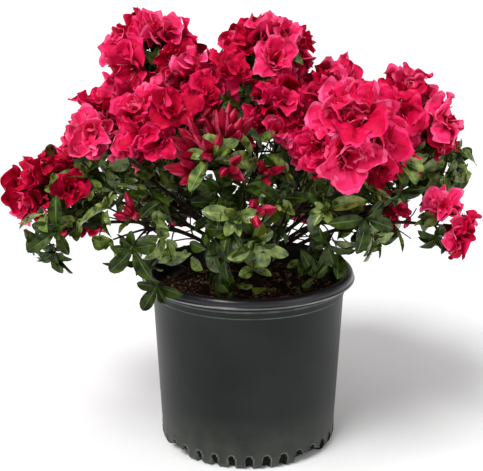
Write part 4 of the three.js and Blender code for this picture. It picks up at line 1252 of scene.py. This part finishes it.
def dress(limbs):
    """Fills each region's forms with what grows on the tips of its sprays."""
    random = Stream(SEED)
    kinds = [rings for rings in PETAL_RINGS.values() for _ in range(TEMPLATES_EACH)]
    templates = [blossom_template(rings, random) for rings in kinds]
    bud = bud_template()
    regions = {name: (Forms(), Forms()) for name in REGIONS}
    buds, twigs = Forms(), Forms()
    for limb in limbs:
        room = Room(limb, limbs)
        heading = unit(limb.stem[2] - limb.stem[1])
        radii = LIMB_SLIMNESS * np.linspace(limb.stem_radius, STEM_TIP_RADIUS * STEM_END, STEM_POINTS)
        twigs.add_tube(bezier(*limb.stem, np.linspace(0, 1, STEM_POINTS)), radii, 8, BARK)
        coarse, fine = coarse_tips(limb, room), fine_tips(limb, room)
        random = Stream(limb.spray.seed + DRESS_SEED)
        blossoms, leaves = regions[limb.spray.region()]
        for number, tip in enumerate(coarse + fine):
            is_fine = number >= len(coarse)
            radius, slot = (FINE_TWIG_RADIUS, GREEN) if is_fine else (TWIG_RADIUS, BARK)
            add_twig(twigs, tip["start"], tip["tip"], heading, radius, slot)
            if tip["kind"] == "blossom":
                template = templates[int(random() * len(templates))]
                tilt = FINE_BLOSSOM_TILT if is_fine else BLOSSOM_TILT
                add_blossom(blossoms, tip, template, int(random() * TINTS), tilt, random)
            elif tip["kind"] == "buds":
                add_bud_group(buds, bud, tip, random)
                add_under_leaves(leaves, tip, room, random)
            else:
                add_whorl(leaves, tip, room, random)
        if limb.bough:
            add_side_twigs(twigs, leaves, limb, room)
    return regions, buds, twigs


def add_side_twigs(twigs, leaves, limb, room):
    """Thin twigs that leave a bough on its way, some with a few leaves at the end."""
    random = Stream(limb.spray.seed + SIDE_SEED)
    count, leafy = (BACK_SIDE_TWIGS, BACK_LEAFY_TWIGS) if limb.spray.behind else (SIDE_TWIGS, LEAFY_TWIGS)
    for _ in range(count):
        share = varied(1, 0.25, 0.7, random)
        start = bezier(*limb.bough, share)
        heading = unit(bezier(*limb.bough, share + 0.01) - start)
        along = leaning(heading, lean_of(SIDE_TWIG_LEAN, random), 2 * math.pi * random())
        tip = start + along * varied(SIDE_TWIG_LENGTH, 0.6, 0.7, random)
        phase = 2 * math.pi * random()
        body = leaf_body(random)
        if not room.clear_of_pot(line_samples(start, [tip + along * SIDE_TWIG_ROOM], TWIG_CHECKS)):
            continue
        add_twig(twigs, start, tip, heading, FINE_TWIG_RADIUS, BARK)
        if random() > leafy:
            continue
        for k in range(SIDE_TWIG_LEAVES):
            leaf_along = leaning(along, lean_of(SIDE_LEAF_LEAN, random), phase + k * GOLDEN_TURN)
            foot = tip - along * SIDE_LEAF_STEP * k
            length = varied(LEAF_LENGTH, 0.7, 0.3, random)
            width = varied(LEAF_WIDTH, 0.75, 0.3, random)
            if room.clear_of_pot(line_samples(foot, [foot + leaf_along * length], LEAF_CHECKS)):
                add_leaf(leaves, foot, leaf_along, along, length, width, body, random)


def leaf_body(random):
    chance = random()
    return LEAF_YOUNG if chance < YOUNG_SHARE else LEAF_GREEN if chance < LIGHT_SHARE else LEAF_DARK


def add_whorl(forms, tip, room, random):
    """The whorl's own leaves, smaller ones inside it, and a few below it on the twig."""
    body = leaf_body(random)
    for foot, along, upper, length, width in tip["leaves"]:
        add_leaf(forms, foot, along, upper, length, width, body, random)
    for k in range(HEART_LEAVES):
        turn = tip["phase"] + 2 * math.pi * (k + 0.5 * random()) / HEART_LEAVES
        along = leaning(tip["axis"], lean_of(HEART_LEAF_LEAN, random), turn)
        length = varied(LEAF_LENGTH * HEART_LEAF_SIZE, 0.8, 0.4, random)
        add_leaf_if_free(forms, tip["tip"], along, tip["axis"], length, LEAF_WIDTH * 0.6, body, room, random)
    add_under_leaves(forms, tip, room, random)


def add_under_leaves(forms, tip, room, random):
    for k in range(UNDERLEAVES):
        turn = tip["phase"] + 2 * math.pi * (k + 0.7 * random()) / UNDERLEAVES
        along = leaning(tip["axis"], lean_of(UNDERLEAF_LEAN, random), turn)
        foot = tip["tip"] - tip["axis"] * varied(1, *UNDERLEAF_DROP, random)
        length = varied(LEAF_LENGTH * UNDERLEAF_SIZE, 0.85, 0.3, random)
        width = varied(LEAF_WIDTH * 0.9, 0.85, 0.3, random)
        add_leaf_if_free(forms, foot, along, tip["axis"], length, width, leaf_body(random), room, random)


def add_leaf_if_free(forms, foot, along, upper, length, width, body, room, random):
    if room.is_free(line_samples(foot, leaf_outline(foot, along, upper, length, width), LEAF_CHECKS)):
        add_leaf(forms, foot, along, upper, length, width, body, random)


def add_bud_group(forms, template, tip, random):
    """A bud in the middle of others that lean away from it."""
    points, quads, slots = template
    buds = []
    for k, length in enumerate(tip["lengths"]):
        along = leaning(tip["axis"], math.radians(BUD_LEAN), tip["phase"] + k * 2 * math.pi / BUDS_IN_GROUP)
        buds.append((along, length, varied(BUD_WIDTH, 0.85, 0.3, random), 6 * random()))
    buds.append((tip["axis"], BUD_LENGTH * varied(1, 0.9, 0.2, random), BUD_WIDTH, 6 * random()))
    for along, length, width, turn in buds:
        shape = points * np.array([width, width, BUD_STRETCH * length])
        forms.add(placed(shape, tip["tip"], along, turn), quads, slots)


def attach(piece, slot, *nodes):
    """Puts a piece in the place of nodes of the part."""
    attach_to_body(piece, "root")
    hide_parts(*nodes)


def nodes_of(prefix, sprays):
    return [prefix + spray.name for spray in sprays]


def make_plant():
    sprays = [Spray(row, SEED + SEED_STEP * index) for index, row in enumerate([*SPRAYS, *SHOOTS])]
    limbs = place_limbs(sprays[: len(SPRAYS)], sprays[len(SPRAYS) :])
    regions, buds, twigs = dress(limbs)
    petals, greens, wood = surfaces(PETAL_SURFACES), surfaces(LEAF_SURFACES), surfaces(WOOD_SURFACES)
    for name, (blossoms, leaves) in regions.items():
        inside = [spray for spray in sprays if spray.region() == name]
        blooming = [spray for spray in inside if spray.blossoms]
        attach(blossoms.piece("blossoms_" + name, petals), "blossom_spray", *nodes_of("spray_", blooming))
        attach(leaves.piece("leaves_" + name, greens), "leaf_spray", *nodes_of("spray_", inside))
    budding = [spray for spray in sprays if spray.buds]
    attach(buds.piece("flower_buds", surfaces(BUD_SURFACES)), "blossom_spray", *nodes_of("spray_", budding))
    attach(twigs.piece("twigs", wood), "bark", *nodes_of("spray_", sprays))
    attach(make_limbs(limbs, wood), "bark", "trunk", *nodes_of("bough_", sprays[: len(SPRAYS)]))


# ---- The studio ----

FLOOR_HALF = 12  # metres
FLOOR_DROP = 0.0005
WORLD_STRENGTH = 0.55
SUN_STRENGTH = 2.7
SUN_WIDTH = 28  # degrees
SUN_AIM = (0.42, 0.62, -1.0)
FILL_PLACE = (1.6, -1.2, 0.9)  # metres
FILL_TARGET = (0, 0, 0.2)
FILL_SIZE = 1.2
FILL_POWER = 6


def make_floor():
    mesh = bpy.data.meshes.new("floor")
    corners = [(-1, -1), (1, -1), (1, 1), (-1, 1)]
    mesh.from_pydata([(FLOOR_HALF * x, FLOOR_HALF * y, 0) for x, y in corners], [], [(0, 1, 2, 3)])
    mesh.materials.append(surface(*STUDIO_FLOOR))
    floor = linked("floor", mesh)
    floor.location = (0, 0, -FLOOR_DROP)


def aimed(lamp, direction):
    lamp.rotation_euler = Vector(direction).to_track_quat("-Z", "Y").to_euler()


def make_studio():
    scene = bpy.context.scene
    scene.world = bpy.data.worlds.new("studio")
    scene.world.use_nodes = True
    tree = scene.world.node_tree
    set_inputs(tree, tree.nodes["Background"], Color=(1, 1, 1, 1), Strength=WORLD_STRENGTH)
    scene.view_settings.view_transform = "Standard"
    sun = bpy.data.lights.new("key", "SUN")
    sun.angle, sun.energy = math.radians(SUN_WIDTH), SUN_STRENGTH
    aimed(linked("key", sun), SUN_AIM)
    fill = bpy.data.lights.new("fill", "AREA")
    fill.shape, fill.size, fill.energy = "DISK", FILL_SIZE, FILL_POWER
    lamp = linked("fill", fill)
    lamp.location = FILL_PLACE
    aimed(lamp, np.array(FILL_TARGET) - np.array(FILL_PLACE))


def make_camera():
    camera = linked("camera", bpy.data.cameras.new("camera"))
    camera.data.lens, camera.data.sensor_width = CAMERA_LENS, SENSOR_WIDTH
    camera.data.sensor_fit = "HORIZONTAL"
    camera.location = CAMERA_PLACE * MM
    camera.rotation_euler = (math.radians(90 + CAMERA_PITCH), 0, 0)
    bpy.context.scene.camera = camera


# ---- Everything ----

make_camera()
make_studio()
make_floor()
attach(make_pot(), "pot_plastic", "pot")
attach(make_soil(), "potting_mix", "potting_mix")
make_plant()
